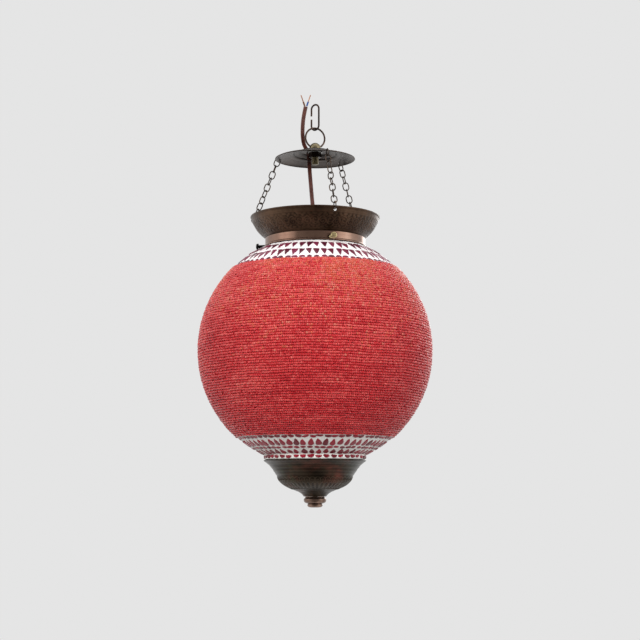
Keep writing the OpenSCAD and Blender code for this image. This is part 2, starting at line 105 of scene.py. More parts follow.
def ramp(nt, fac, stops):
    r = nt.nodes.new("ShaderNodeValToRGB")
    e = r.color_ramp.elements
    while len(e) < len(stops):
        e.new(0.5)
    for k, (p, c) in enumerate(stops):
        e[k].position = p
        e[k].color = (*c, 1) if len(c) == 3 else c
    nt.links.new(fac, r.inputs["Fac"])
    return r.outputs["Color"]


def mixc(nt, fac, a, b, mode="MIX"):
    m = nt.nodes.new("ShaderNodeMix")
    m.data_type = "RGBA"
    m.blend_type = mode
    if isinstance(fac, float):
        m.inputs["Factor"].default_value = fac
    else:
        nt.links.new(fac, m.inputs["Factor"])
    for sock, v in ((m.inputs["A"], a), (m.inputs["B"], b)):
        if isinstance(v, tuple):
            sock.default_value = (*v, 1)
        else:
            nt.links.new(v, sock)
    return m.outputs["Result"]


def mathn(nt, op, a, b=None, clamp=False):
    m = nt.nodes.new("ShaderNodeMath")
    m.operation = op
    m.use_clamp = clamp
    for k, v in enumerate((a, b)):
        if v is None:
            continue
        if isinstance(v, (int, float)):
            m.inputs[k].default_value = v
        else:
            nt.links.new(v, m.inputs[k])
    return m.outputs[0]


def bump(nt, bsdf, height, strength=0.3, dist=0.0003):
    b = nt.nodes.new("ShaderNodeBump")
    b.inputs["Strength"].default_value = strength
    b.inputs["Distance"].default_value = dist
    nt.links.new(height, b.inputs["Height"])
    nt.links.new(b.outputs["Normal"], bsdf.inputs["Normal"])


def aged_metal(name, dark, mid, rub, green=None, rough=(0.28, 0.5), scale=60.0, rings=0.0, rub_at=0.62, relief=None, grooves=None):
    """Cast or spun metal with a dark patina, rubbed patches and, if asked, verdigris."""
    m, nt, b = new_mat(name)
    big = noise(nt, scale, 5, 0.6, 0.4)
    col = ramp(nt, big, [(0.3, dark), (0.52, mid), (rub_at + 0.1, rub)])
    fine = noise(nt, scale * 9, 4, 0.7)
    col = mixc(nt, mathn(nt, "MULTIPLY", fine, 0.45), col, tuple(c * 0.45 for c in dark))
    if green is not None:
        g1 = noise(nt, scale * 0.8, 6, 0.7, 0.8, stretch=(1.3, 0.9, 1.1))
        gm = ramp(nt, g1, [(0.56, (0, 0, 0)), (0.68, (1, 1, 1))])
        sp = nt.nodes.new("ShaderNodeSeparateColor")
        nt.links.new(gm, sp.inputs[0])
        gf = mathn(nt, "MULTIPLY", sp.outputs[0], 0.55)
        col = mixc(nt, gf, col, green)
    if relief is not None:
        at = nt.nodes.new("ShaderNodeAttribute")
        at.attribute_name = "relief"
        mr = nt.nodes.new("ShaderNodeMapRange")
        mr.inputs["From Min"].default_value = 0.02
        mr.inputs["From Max"].default_value = 0.42
        nt.links.new(at.outputs["Fac"], mr.inputs["Value"])
        worn = mathn(nt, "MULTIPLY", mr.outputs[0], mathn(nt, "ADD", mathn(nt, "MULTIPLY", fine, 0.6), 0.55), clamp=True)
        low = nt.nodes.new("ShaderNodeMapRange")
        low.inputs["From Min"].default_value = 0.0
        low.inputs["From Max"].default_value = -0.12
        nt.links.new(at.outputs["Fac"], low.inputs["Value"])
        col = mixc(nt, mathn(nt, "MULTIPLY", low.outputs[0], 0.75), col, tuple(c * 0.3 for c in dark))
        col = mixc(nt, worn, col, relief)
    if grooves is not None:
        # dirt left in the turned grooves, by radius in units of 100 mm
        tc_ = nt.nodes.new("ShaderNodeTexCoord")
        flat_ = nt.nodes.new("ShaderNodeVectorMath")
        flat_.operation = "MULTIPLY"
        flat_.inputs[1].default_value = (10.0, 10.0, 0.0)
        nt.links.new(tc_.outputs["Object"], flat_.inputs[0])
        ln_ = nt.nodes.new("ShaderNodeVectorMath")
        ln_.operation = "LENGTH"
        nt.links.new(flat_.outputs[0], ln_.inputs[0])
        col = mixc(nt, 1.0, col, ramp(nt, ln_.outputs["Value"], [(p_, (g_, g_, g_)) for p_, g_ in grooves]), "MULTIPLY")
    nt.links.new(col, b.inputs["Base Color"])
    b.inputs["Metallic"].default_value = 0.92
    rr = nt.nodes.new("ShaderNodeMapRange")
    rr.inputs["To Min"].default_value = rough[0]
    rr.inputs["To Max"].default_value = rough[1]
    nt.links.new(fine, rr.inputs["Value"])
    nt.links.new(rr.outputs[0], b.inputs["Roughness"])
    if rings > 0:
        spun = noise(nt, 1.0, 2, 0.5, stretch=(1.0, 1.0, rings))
        bump(nt, b, spun, 0.25, 0.0002)
    else:
        bump(nt, b, fine, 0.25, 0.00015)
    return m


bronze = aged_metal("bronze_dark", (0.016, 0.0105, 0.0075), (0.045, 0.028, 0.021), (0.11, 0.068, 0.05), rough=(0.3, 0.5))
bronze_disc = aged_metal("bronze_disc", (0.034, 0.023, 0.0185), (0.056, 0.040, 0.032), (0.095, 0.066, 0.053), rough=(0.3, 0.46), scale=50,
                         grooves=[(0.0, 1.0), (0.155, 1.0), (0.166, 0.35), (0.18, 0.4), (0.192, 1.0), (0.222, 1.0), (0.23, 0.4), (0.243, 0.45), (0.253, 1.0)])
bronze_dish = aged_metal("bronze_dish", (0.034, 0.0185, 0.0108), (0.066, 0.037, 0.021), (0.11, 0.060, 0.036), rough=(0.3, 0.46), scale=45,
                         relief=(0.095, 0.056, 0.035))
bronze_cup = aged_metal("bronze_cup", (0.012, 0.0084, 0.0050), (0.028, 0.0180, 0.0105), (0.10, 0.030, 0.020), green=(0.026, 0.038, 0.020), rough=(0.28, 0.45), scale=26,
                        rub_at=0.6, relief=(0.056, 0.040, 0.026))
bronze_knob = aged_metal("bronze_knob", (0.09, 0.055, 0.041), (0.18, 0.115, 0.088), (0.34, 0.22, 0.165), rough=(0.22, 0.38), scale=70)
chain_mat = aged_metal("chain_bronze", (0.03, 0.022, 0.017), (0.08, 0.058, 0.045), (0.2, 0.14, 0.1), rough=(0.25, 0.42), scale=150)
brass_old = aged_metal("brass_old", (0.1, 0.085, 0.05), (0.24, 0.2, 0.12), (0.4, 0.33, 0.2), rough=(0.3, 0.5), scale=110)
brass = aged_metal("brass_bright", (0.36, 0.28, 0.14), (0.62, 0.5, 0.27), (0.78, 0.66, 0.42), rough=(0.16, 0.3), scale=120)
steel = aged_metal("steel_plated", (0.32, 0.32, 0.3), (0.5, 0.5, 0.48), (0.62, 0.62, 0.6), rough=(0.25, 0.4), scale=90)
black_steel = aged_metal("screw_black", (0.006, 0.006, 0.006), (0.012, 0.011, 0.01), (0.04, 0.035, 0.03), rough=(0.3, 0.5), scale=160)
ring_mat = aged_metal("ring_bronze", (0.035, 0.022, 0.017), (0.09, 0.058, 0.045), (0.22, 0.14, 0.1), rough=(0.28, 0.45), scale=140)


def collar_metal():
    m, nt, b = new_mat("copper_polished")
    n1 = noise(nt, 30.0, 5, 0.6, 0.3)
    col = ramp(nt, n1, [(0.3, (0.145, 0.086, 0.062)), (0.55, (0.23, 0.146, 0.107)), (0.75, (0.30, 0.203, 0.155))])
    streak = noise(nt, 12.0, 3, 0.7, stretch=(1.0, 1.0, 60.0))
    col = mixc(nt, mathn(nt, "MULTIPLY", streak, 0.35), col, (0.16, 0.06, 0.045))
    nt.links.new(col, b.inputs["Base Color"])
    b.inputs["Metallic"].default_value = 1.0
    rr = nt.nodes.new("ShaderNodeMapRange")
    rr.inputs["To Min"].default_value = 0.14
    rr.inputs["To Max"].default_value = 0.3
    nt.links.new(streak, rr.inputs["Value"])
    nt.links.new(rr.outputs[0], b.inputs["Roughness"])
    bump(nt, b, streak, 0.18, 0.0001)
    return m


copper = collar_metal()


def flex_mat():
    m, nt, b = new_mat("flex_brown")
    n1 = noise(nt, 180.0, 3, 0.6)
    col = ramp(nt, n1, [(0.3, (0.06, 0.017, 0.012)), (0.7, (0.105, 0.032, 0.022))])
    nt.links.new(col, b.inputs["Base Color"])
    b.inputs["Roughness"].default_value = 0.42
    return m


flex_m = flex_mat()


def plaster_mat(name, a, c, stain):
    m, nt, b = new_mat(name)
    n1 = noise(nt, 90.0, 6, 0.65)
    col = ramp(nt, n1, [(0.3, a), (0.7, c)])
    n2 = noise(nt, 28.0, 5, 0.7, 0.6)
    st = nt.nodes.new("ShaderNodeSeparateColor")
    nt.links.new(ramp(nt, n2, [(0.58, (0, 0, 0)), (0.75, (1, 1, 1))]), st.inputs[0])
    col = mixc(nt, mathn(nt, "MULTIPLY", st.outputs[0], 0.4), col, stain)
    nt.links.new(col, b.inputs["Base Color"])
    b.inputs["Roughness"].default_value = 0.75
    f = noise(nt, 900.0, 5, 0.7)
    bump(nt, b, f, 0.35, 0.0002)
    return m


plaster_w = plaster_mat("plaster_white", (0.74, 0.69, 0.68), (0.90, 0.87, 0.86), (0.64, 0.48, 0.49))
plaster_c = plaster_mat("plaster_cream", (0.84, 0.80, 0.76), (0.93, 0.91, 0.88), (0.66, 0.50, 0.46))


def porcelain_mat():
    m, nt, b = new_mat("porcelain")
    n1 = noise(nt, 70.0, 4, 0.6)
    nt.links.new(ramp(nt, n1, [(0.3, (0.76, 0.75, 0.7)), (0.7, (0.86, 0.85, 0.81))]), b.inputs["Base Color"])
    b.inputs["Roughness"].default_value = 0.22
    return m


porcelain = porcelain_mat()


def plastic(name, a, c, rough=0.45, scale=200.0):
    m, nt, b = new_mat(name)
    n1 = noise(nt, scale, 4, 0.6)
    nt.links.new(ramp(nt, n1, [(0.3, a), (0.7, c)]), b.inputs["Base Color"])
    b.inputs["Roughness"].default_value = rough
    return m


rubber = plastic("rubber_black", (0.012, 0.012, 0.012), (0.03, 0.03, 0.03), 0.7)
black_pl = plastic("black_plastic", (0.01, 0.01, 0.01), (0.022, 0.022, 0.022), 0.4)
core_br = plastic("core_brown", (0.09, 0.03, 0.012), (0.14, 0.055, 0.022), 0.45)
core_bl = plastic("core_blue", (0.012, 0.05, 0.2), (0.02, 0.08, 0.3), 0.45)
copper_wire = aged_metal("copper_wire", (0.35, 0.15, 0.08), (0.6, 0.28, 0.16), (0.8, 0.45, 0.28), rough=(0.2, 0.35), scale=200)
# bead bed: a red glue colour, partly painted light, lifted so the gaps between beads, where shade falls, read lighter
bed_mat = plastic("bead_bed", (0.50, 0.018, 0.026), (0.60, 0.030, 0.038), 0.6, 400.0)

glass_m = flat("globe_glass", (0.96, 0.93, 0.92), 0, 0.06, **{"IOR": 1.5, "Transmission Weight": 0.9})
bulb_m = flat("bulb_frosted", (0.95, 0.94, 0.9), 0, 0.35, **{"IOR": 1.45, "Transmission Weight": 0.55})

# from the darkest string colour to the palest; the last two, paler and more orange, are laid on towards the top as
# painted light
BEAD_COLS = [
    (0.34, 0.010, 0.016), (0.385, 0.013, 0.018), (0.43, 0.017, 0.022), (0.47, 0.022, 0.026), (0.505, 0.029, 0.034), (0.535, 0.040, 0.042),
    (0.56, 0.052, 0.054), (0.585, 0.064, 0.060), (0.61, 0.076, 0.074), (0.63, 0.096, 0.082), (0.65, 0.126, 0.108), (0.68, 0.172, 0.142),
    (0.56, 0.088, 0.054), (0.59, 0.136, 0.100)]
BEAD_Q = np.cumsum([0.02, 0.04, 0.08, 0.12, 0.16, 0.17, 0.15, 0.11, 0.07, 0.045, 0.025, 0.01])
bead_mats = [flat("bead_red_%02d" % i, c, 0, 0.2 + 0.02 * (i % 5), **{"IOR": 1.35, "Coat Weight": 0.05, "Coat Roughness": 0.15})
             for i, c in enumerate(BEAD_COLS)]
UP_COLS = [(0.12, 0.012, 0.035), (0.10, 0.008, 0.024), (0.15, 0.014, 0.038), (0.075, 0.006, 0.02), (0.17, 0.018, 0.05)]
LO_COLS = [(0.20, 0.005, 0.016), (0.16, 0.004, 0.013), (0.24, 0.006, 0.02), (0.13, 0.003, 0.011), (0.28, 0.009, 0.024)]
up_mats = [flat("tile_maroon_%d" % i, c, 0, 0.3, **{"IOR": 1.36}) for i, c in enumerate(UP_COLS)]
lo_mats = [flat("tile_red_%d" % i, c, 0, 0.34, **{"IOR": 1.32}) for i, c in enumerate(LO_COLS)]


# --------------------------------------------------------------- mesh helpers
def make(name, verts, faces, mats, midx=None, smooth=True, sharp=None, weld=False, relief=None):
    """verts in mm; faces is an (n, k) array or a list of index lists."""
    me = bpy.data.meshes.new(name)
    verts = np.asarray(verts, float).reshape(-1, 3) * MM
    if isinstance(faces, np.ndarray):
        k = faces.shape[1]
        loops = faces.reshape(-1)
        starts = np.arange(0, len(loops), k)
    else:
        loops = np.array([i for f in faces for i in f])
        starts = np.cumsum([0] + [len(f) for f in faces[:-1]])
    me.vertices.add(len(verts))
    me.vertices.foreach_set("co", verts.reshape(-1).astype(np.float32))
    me.loops.add(len(loops))
    me.loops.foreach_set("vertex_index", loops.astype(np.int32))
    me.polygons.add(len(starts))
    me.polygons.foreach_set("loop_start", starts.astype(np.int32))
    if midx is not None:
        me.polygons.foreach_set("material_index", np.asarray(midx, np.int32))
    me.update(calc_edges=True)
    if relief is not None:
        me.attributes.new("relief", "FLOAT", "POINT").data.foreach_set("value", np.asarray(relief, np.float32).reshape(-1))
    me.validate()
    mats = mats if isinstance(mats, (list, tuple)) else [mats]
    for m in mats:
        me.materials.append(m)
    if weld:
        bm = bmesh.new()
        bm.from_mesh(me)
        bmesh.ops.remove_doubles(bm, verts=bm.verts, dist=2e-6)
        bmesh.ops.recalc_face_normals(bm, faces=bm.faces)
        bm.to_mesh(me)
        bm.free()
    me.polygons.foreach_set("use_smooth", [smooth] * len(me.polygons))
    if sharp is not None:
        me.set_sharp_from_angle(angle=math.radians(sharp))
    o = bpy.data.objects.new(name, me)
    bpy.context.scene.collection.objects.link(o)
    return o


def join(name, objs):
    """One object from several, material slots merged by name."""
    bm = bmesh.new()
    mats = []
    for o in objs:
        me = o.data
        idx = []
        for m in me.materials:
            if m not in mats:
                mats.append(m)
            idx.append(mats.index(m))
        n0 = len(bm.faces)
        bm.from_mesh(me)
        bm.faces.ensure_lookup_table()
        for f in bm.faces[n0:]:
            f.material_index = idx[f.material_index] if idx else 0
    me = bpy.data.meshes.new(name)
    bm.to_mesh(me)
    bm.free()
    for m in mats:
        me.materials.append(m)
    for o in objs:
        old = o.data
        bpy.data.objects.remove(o)
        bpy.data.meshes.remove(old)
    o = bpy.data.objects.new(name, me)
    bpy.context.scene.collection.objects.link(o)
    return o


def fillet(pts, rad, n=4, closed=True):
    """Rounds each corner of a polyline of (r, z) points. rad is one size or one per point."""
    pts = [np.array(p, float) for p in pts]
    m = len(pts)
    out = []
    for i, p in enumerate(pts):
        r = rad[i] if isinstance(rad, (list, tuple)) else rad
        if (not closed and i in (0, m - 1)) or r <= 0:
            out.append(p)
            continue
        a, c = pts[i - 1], pts[(i + 1) % m]
        la, lc = np.linalg.norm(a - p), np.linalg.norm(c - p)
        t = min(r, 0.45 * la, 0.45 * lc)
        s, e = p + (a - p) / la * t, p + (c - p) / lc * t
        for k in range(n + 1):
            u = k / n
            out.append((1 - u) ** 2 * s + 2 * u * (1 - u) * p + u * u * e)
    return np.array(out)


def resample(pts, step):
    """Points along a polyline no further apart than step, keeping the corners."""
    out = [pts[0]]
    for a, b in zip(pts[:-1], pts[1:]):
        n = max(1, int(math.ceil(np.linalg.norm(b - a) / step)))
        for k in range(1, n + 1):
            out.append(a + (b - a) * k / n)
    return np.array(out)


def catmull(p, n):
    p = np.array(p, float)
    out = []
    for i in range(len(p) - 1):
        a, b, c, d = p[max(i - 1, 0)], p[i], p[i + 1], p[min(i + 2, len(p) - 1)]
        for k in range(n + (1 if i == len(p) - 2 else 0)):
            t = k / n
            out.append(0.5 * (2 * b + (c - a) * t + (2 * a - 5 * b + 4 * c - d) * t * t + (3 * b - a - 3 * c + d) * t ** 3))
    return np.array(out)


def lathe(name, prof, segs, mats, closed=True, z0=0.0, sharp=40, disp=None, weld=None, relief=False):
    """Turns a closed outline of (r, z) round the Z axis. disp(theta, index) adds to r and z."""
    prof = np.array(prof, float)
    n = len(prof)
    th = np.linspace(0, 2 * PI, segs, endpoint=False)
    rr = np.repeat(prof[None, :, 0], segs, 0)
    zz = np.repeat(prof[None, :, 1], segs, 0) + z0
    rel = None
    if disp is not None:
        dr, dz = disp(th[:, None], np.arange(n)[None, :], prof)
        rr = rr + dr
        zz = zz + dz
        if relief:
            rel = np.hypot(dr, dz) * np.sign(dr + dz * 0.01) + 0 * rr
    v = np.stack([rr * np.cos(th)[:, None], rr * np.sin(th)[:, None], zz], -1).reshape(-1, 3)
    i = np.arange(segs)[:, None]
    j = np.arange(n if closed else n - 1)[None, :]
    i2, j2 = (i + 1) % segs, (j + 1) % n
    f = np.stack([i * n + j, i2 * n + j, i2 * n + j2, i * n + j2], -1).reshape(-1, 4)
    need = bool((prof[:, 0] < 1e-6).any()) if weld is None else weld
    return make(name, v, f, mats, sharp=sharp, weld=need, relief=rel)


def outline(pts, t):
    """Closed outline of a sheet of thickness t behind an open polyline."""
    p = np.array(pts, float)
    d = np.gradient(p, axis=0)
    d /= np.linalg.norm(d, axis=1)[:, None]
    nrm = np.stack([-d[:, 1], d[:, 0]], -1)
    return p, p - t * nrm


def sweep(name, path, prof, mats, closed=False, xref=(1, 0, 0), sharp=None, caps=True):
    """Carries an outline (x, y) along a 3-D path; x stays near xref."""
    path = np.array(path, float)
    prof = np.array(prof, float)
    n, m = len(path), len(prof)
    if closed:
        t = np.roll(path, -1, 0) - np.roll(path, 1, 0)
    else:
        t = np.gradient(path, axis=0)
    t /= np.linalg.norm(t, axis=1)[:, None]
    if np.ndim(xref) == 1:
        xref = np.repeat(np.array(xref, float)[None], n, 0)
    x = xref - (xref * t).sum(1)[:, None] * t
    x /= np.linalg.norm(x, axis=1)[:, None]
    y = np.cross(t, x)
    v = path[:, None] + prof[None, :, 0, None] * x[:, None] + prof[None, :, 1, None] * y[:, None]
    v = v.reshape(-1, 3)
    i = np.arange(n if closed else n - 1)[:, None]
    j = np.arange(m)[None, :]
    i2, j2 = (i + 1) % n, (j + 1) % m
    f = np.stack([i * m + j, i * m + j2, i2 * m + j2, i2 * m + j], -1).reshape(-1, 4).tolist()
    if not closed and caps:
        f.append(list(range(m - 1, -1, -1)))
        f.append([(n - 1) * m + k for k in range(m)])
    return make(name, v, f, mats, sharp=sharp)


def circle2(r, n, wob=0.0):
    a = np.linspace(0, 2 * PI, n, endpoint=False)
    return np.stack([r * np.cos(a), r * np.sin(a)], -1)


def rotz(a):
    c, s = math.cos(math.radians(a)), math.sin(math.radians(a))
    return np.array([[c, -s, 0], [s, c, 0], [0, 0, 1.0]])


def roty(a):
    c, s = math.cos(math.radians(a)), math.sin(math.radians(a))
    return np.array([[c, 0, s], [0, 1.0, 0], [-s, 0, c]])


def threaded(name, r, pitch, z0, z1, mats, segs=40, per=8, depth=None, bore=0.0, end=0.6):
    """A screw thread standing on the Z axis."""
    depth = pitch * 0.55 if depth is None else depth
    rows = int((z1 - z0) / pitch * per) + 1
    z = np.linspace(z0, z1, rows)
    th = np.linspace(0, 2 * PI, segs, endpoint=False)
    ph = ((z[None] - z0) / pitch - th[:, None] / (2 * PI)) % 1.0
    tri = np.clip(np.abs(ph - 0.5) * 2.6 - 0.15, 0, 1)
    rr = r - depth * tri
    blend_share = np.minimum(1, np.minimum(z - z0, z1 - z) / max(end, 1e-3))
    rr = rr - (1 - blend_share)[None] * end * 0.6
    x, y = rr * np.cos(th)[:, None], rr * np.sin(th)[:, None]
    v = np.stack([x, y, np.repeat(z[None], segs, 0)], -1).reshape(-1, 3)
    i = np.arange(segs)[:, None]
    j = np.arange(rows - 1)[None]
    i2 = (i + 1) % segs
    f = np.stack([i * rows + j, i2 * rows + j, i2 * rows + j + 1, i * rows + j + 1], -1).reshape(-1, 4).tolist()
    if bore <= 0:
        f.append([k * rows for k in range(segs - 1, -1, -1)])
        f.append([k * rows + rows - 1 for k in range(segs)])
    else:
        base = len(v)
        ring = np.stack([bore * np.cos(th), bore * np.sin(th)], -1)
        v = np.concatenate([v, np.c_[ring, np.full(segs, z0)], np.c_[ring, np.full(segs, z1)]])
        for k in range(segs):
            k2 = (k + 1) % segs
            f.append([base + k, base + segs + k, base + segs + k2, base + k2])
            f.append([k * rows, base + k, base + k2, k2 * rows])
            f.append([k * rows + rows - 1, k2 * rows + rows - 1, base + segs + k2, base + segs + k])
    return make(name, v, f, mats, sharp=50)


def hexnut(name, af, h, bore, z, mats):
    """Chamfered hexagon nut, its lower face at z."""
    segs = 72
    th = np.linspace(0, 2 * PI, segs, endpoint=False)
    hr = af / 2 / np.cos((th % (PI / 3)) - PI / 6)
    c = (hr - af / 2) * 0.62
    rings = [(np.full(segs, bore), np.full(segs, 0.25)), (np.full(segs, bore + 0.3), np.zeros(segs)),
             (np.full(segs, af / 2 * 0.98), np.zeros(segs)), (hr, 0.04 + c), (hr, h - 0.04 - c),
             (np.full(segs, af / 2 * 0.98), np.full(segs, h)), (np.full(segs, bore + 0.3), np.full(segs, h)),
             (np.full(segs, bore), np.full(segs, h - 0.25))]
    n = len(rings)
    v = np.stack([np.stack([r * np.cos(th), r * np.sin(th), zz + z], -1) for r, zz in rings], 1).reshape(-1, 3)
    i = np.arange(segs)[:, None]
    j = np.arange(n)[None]
    i2, j2 = (i + 1) % segs, (j + 1) % n
    f = np.stack([i * n + j, i2 * n + j, i2 * n + j2, i * n + j2], -1).reshape(-1, 4)
    return make(name, v, f, mats, sharp=22)


def punch(o, centre, axis, rad, depth):
    """Round hole through both skins of a thin turned sheet."""
    c, ax = Vector(centre) * MM, Vector(axis).normalized()
    rad, depth = rad * MM, depth * MM
    bm = bmesh.new()
    bm.from_mesh(o.data)

    def away(p):
        d = p - c
        t = d.dot(ax)
        return (d - ax * t).length, abs(t)

    kill = []
    for f in bm.faces:
        p = f.calc_center_median()
        if (p - c).length > rad * 2 + depth:
            continue
        d, t = away(p)
        if d < rad and t < depth:
            kill.append(f)
    bmesh.ops.delete(bm, geom=kill, context="FACES")
    edges = [e for e in bm.edges if e.is_boundary and away(e.verts[0].co)[0] < rad * 1.8 and away(e.verts[0].co)[1] < depth]
    vs = {v for e in edges for v in e.verts}
    for v in vs:
        d = v.co - c
        t = d.dot(ax)
        rv = d - ax * t
        if rv.length > 1e-9:
            v.co = c + ax * t + rv.normalized() * rad
    try:
        bmesh.ops.bridge_loops(bm, edges=edges)
    except Exception as err:
        print("bridge", o.name, err)
    bm.to_mesh(o.data)
    bm.free()


def put(o, body, *nodes, slot=None):
    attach(o, body)
    if nodes:
        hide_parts(*nodes)
    return o


def noise1(n, amps, seed):
    """Smooth periodic noise of an angle, as a function."""
    g = np.random.default_rng(seed)
    fr = [int(g.integers(2, n)) for _ in amps]
    ph = g.uniform(0, 2 * PI, len(amps))
    return lambda a: sum(A * np.sin(f * a + p) for A, f, p in zip(amps, fr, ph))


# ----------------------------------------------------------------- suspension
def oval_path(half_w, half_l, n_arc=14, n_leg=5):
    """Stadium centreline in XZ, half_l to the outside of the bow's centreline."""
    s = half_l - half_w
    a = np.linspace(0, PI, n_arc)
    top = np.stack([half_w * np.cos(a), np.zeros(n_arc), s + half_w * np.sin(a)], -1)
    left = np.stack([np.full(n_leg, -half_w), np.zeros(n_leg), np.linspace(s, -s, n_leg + 2)[1:-1]], -1)
    bot = np.stack([half_w * np.cos(a + PI), np.zeros(n_arc), -s + half_w * np.sin(a + PI)], -1)
    right = -left
    return np.concatenate([top, left, bot, right])


p = oval_path(5.0, 14.4, 22, 14)
z_mid = -13.4
# the open joint is on the left leg
gap_top, gap_bot = 2.1, -2.0
# sort along the open wire, from the lower cut end round to the upper one
start = np.array([-5.0, 0, gap_bot])
pts = [start]
rest = [q for q in p if not (abs(q[0] + 5.0) < 0.05 and gap_bot - 0.3 < q[2] < gap_top + 0.3)]
i0 = int(np.argmin([np.linalg.norm(q - start) + (0 if q[2] < 0 else 50) for q in rest]))
rest = rest[i0:] + rest[:i0]
pts += rest
pts.append(np.array([-5.0, 0, gap_top]))
pts = np.array(pts)
pts[0, 1] += 0.25
pts[-1, 1] -= 0.25
pts = pts @ rotz(LINK_YAW).T + np.array([0, 0, z_mid])
nl = np.array([-math.sin(math.radians(LINK_YAW)), math.cos(math.radians(LINK_YAW)), 0])
o = sweep("suspension_link_wire", pts, circle2(1.0, 16), bronze, xref=nl, sharp=60)
put(o, "anchor", "suspension_link", slot="bronze_dark")

a = np.linspace(0, 2 * PI, 96, endpoint=False)
wob = 1 + 0.004 * np.sin(2 * a + 0.6) + 0.002 * np.sin(5 * a)
rp = np.stack([RING_R * np.sin(a) * wob, np.zeros(96), RING_R * np.cos(a)], -1) @ rotz(RING_YAW).T + np.array([0, 0, RING_ZB + RING_R])
nr = np.array([-math.sin(math.radians(RING_YAW)), math.cos(math.radians(RING_YAW)), 0])
ring = sweep("hanging_ring_wire", rp, circle2(1.0, 16), ring_mat, closed=True, xref=nr)
put(ring, "ring", "hanging_ring", slot="bronze_dark")

# ring bolt: drilled ball head on a threaded shank
bm = bmesh.new()
bmesh.ops.create_uvsphere(bm, u_segments=64, v_segments=40, radius=EYE_R * MM)
for v in bm.verts:
    v.co.z = max(v.co.z, -2.68 * MM)
    v.co.z += EYE_ZC * MM
me = bpy.data.meshes.new("ball")
bm.to_mesh(me)
bm.free()
ball = bpy.data.objects.new("ball", me)
bpy.context.scene.collection.objects.link(ball)
bm = bmesh.new()
bmesh.ops.create_cone(bm, cap_ends=True, segments=40, radius1=2.2 * MM, radius2=2.2 * MM, depth=30 * MM)
me = bpy.data.meshes.new("drill")
bm.to_mesh(me)
bm.free()
drill = bpy.data.objects.new("drill", me)
drill.matrix_world = Matrix.Translation((0, 0, EYE_Z * MM)) @ Matrix.Rotation(math.radians(RING_YAW), 4, "Z") @ Matrix.Rotation(PI / 2, 4, "Y")
bpy.context.scene.collection.objects.link(drill)
mod = ball.modifiers.new("b", "BOOLEAN")
mod.operation = "DIFFERENCE"
mod.solver = "EXACT"
mod.object = drill
bpy.context.view_layer.update()
me = bpy.data.meshes.new_from_object(ball.evaluated_get(bpy.context.evaluated_depsgraph_get()))
ball.modifiers.clear()
ball.data = me
bpy.data.objects.remove(drill)
me.materials.clear()
me.materials.append(brass_old)
me.polygons.foreach_set("use_smooth", [True] * len(me.polygons))
me.set_sharp_from_angle(angle=math.radians(35))
shank = threaded("shank", 4.0, 1.25, DISC_Z - 15.6, DISC_Z - 0.2, brass_old, 48, 10)
put(join("ring_bolt_turned", [ball, shank]), "hanger", "ring_bolt", slot="brass_old")

# ------------------------------------------------------------------- top disc
disc_top = [(4.15, 0), (15.0, 0), (16.4, -0.35), (17.6, -1.1), (21.8, -2.75), (22.6, -2.95), (23.3, -2.7), (24.0, -2.75),
            (24.7, -3.4), (26.2, -4.25), (29, -4.9), (30, -5.0), (30.6, -4.85), (31.2, -5.15), (35, -6.05), (38, -6.75),
            (41.5, -7.75), (43.2, -8.5), (44.0, -9.05)]
dp = catmull(disc_top, 4)
top, low = outline(dp, 0.9)
rim_arc = [(44.0 + 0.45 * math.cos(t), -9.3 + 0.45 * math.sin(t)) for t in np.linspace(0.9, -2.3, 7)]
disc = lathe("top_disc_pressed", np.concatenate([top, rim_arc, low[::-1]]), 300, bronze_disc, z0=DISC_Z, sharp=50,
             disp=lambda th, i, pr: (0 * th + 0 * i, 0.12 * np.sin(3 * th + 1.0) * (pr[:, 0][i] / 44) ** 2 + 0 * i))
for a_ in AZ.values():
    punch(disc, (40.1 * math.cos(math.radians(a_)), 40.1 * math.sin(math.radians(a_)), DISC_Z - 7.6), (0, 0, 1), 1.6, 1.8)
punch(disc, (-7.4, 9.8, DISC_Z - 0.5), (0, 0, 1), 3.3, 1.8)
disc.data.set_sharp_from_angle(angle=math.radians(50))
put(disc, "hanger", "top_disc", slot="bronze_dark")
put(lathe("disc_washer_plain", fillet([(4.2, -1.2), (8, -1.2), (8, 0), (4.2, 0)], 0.2, 3), 64, steel, z0=DISC_Z - 0.92),
    "hanger", "disc_washer", slot="steel_plated")
put(hexnut("disc_nut_hex", 12.4, 5.5, 4.0, DISC_Z - 0.94 - 1.2 - 5.5, bronze), "hanger", "disc_nut", slot="bronze_dark")

# --------------------------------------------------------------------- chains
A_r, A_z = 41.9, DISC_Z - 7.83
B_r, B_z = 70.15, RIM_Z - 1.95
L = math.hypot(B_r - A_r, B_z - A_z)
tilt = math.degrees(math.atan2(B_r - A_r, A_z - B_z))
link_in = math.ceil((L + 9 * 0.05) / 10 * 100) / 100
pitch = (L - link_in) / 9
for name, az in AZ.items():
    links = []
    for k in range(10):
        wv = rng.uniform(-0.06, 0.06)
        lp = oval_path(3.125 + wv, link_in / 2 + 0.625, 11, 2)
        lp[:, 1] += 0.12 * np.sin(np.linspace(0, 2 * PI, len(lp), endpoint=False) + rng.uniform(0, 6))
        nrm = np.array([0, 1.0, 0])
        M = rotz(az) @ roty(-tilt)
        T = rotz(k * 100 + (rng.uniform(-7, 7) if 0 < k < 9 else 0))
        q = (lp @ T.T + np.array([0, 0, -link_in / 2 - k * pitch])) @ M.T
        q = q + np.array([A_r * math.cos(math.radians(az)), A_r * math.sin(math.radians(az)), A_z])
        links.append(sweep("l", q, circle2(0.625, 10), chain_mat, closed=True, xref=M @ T @ nrm))
    put(join("chain_%s_links" % name, links), "chain_" + name, "chain_" + name, slot="chain_bronze")

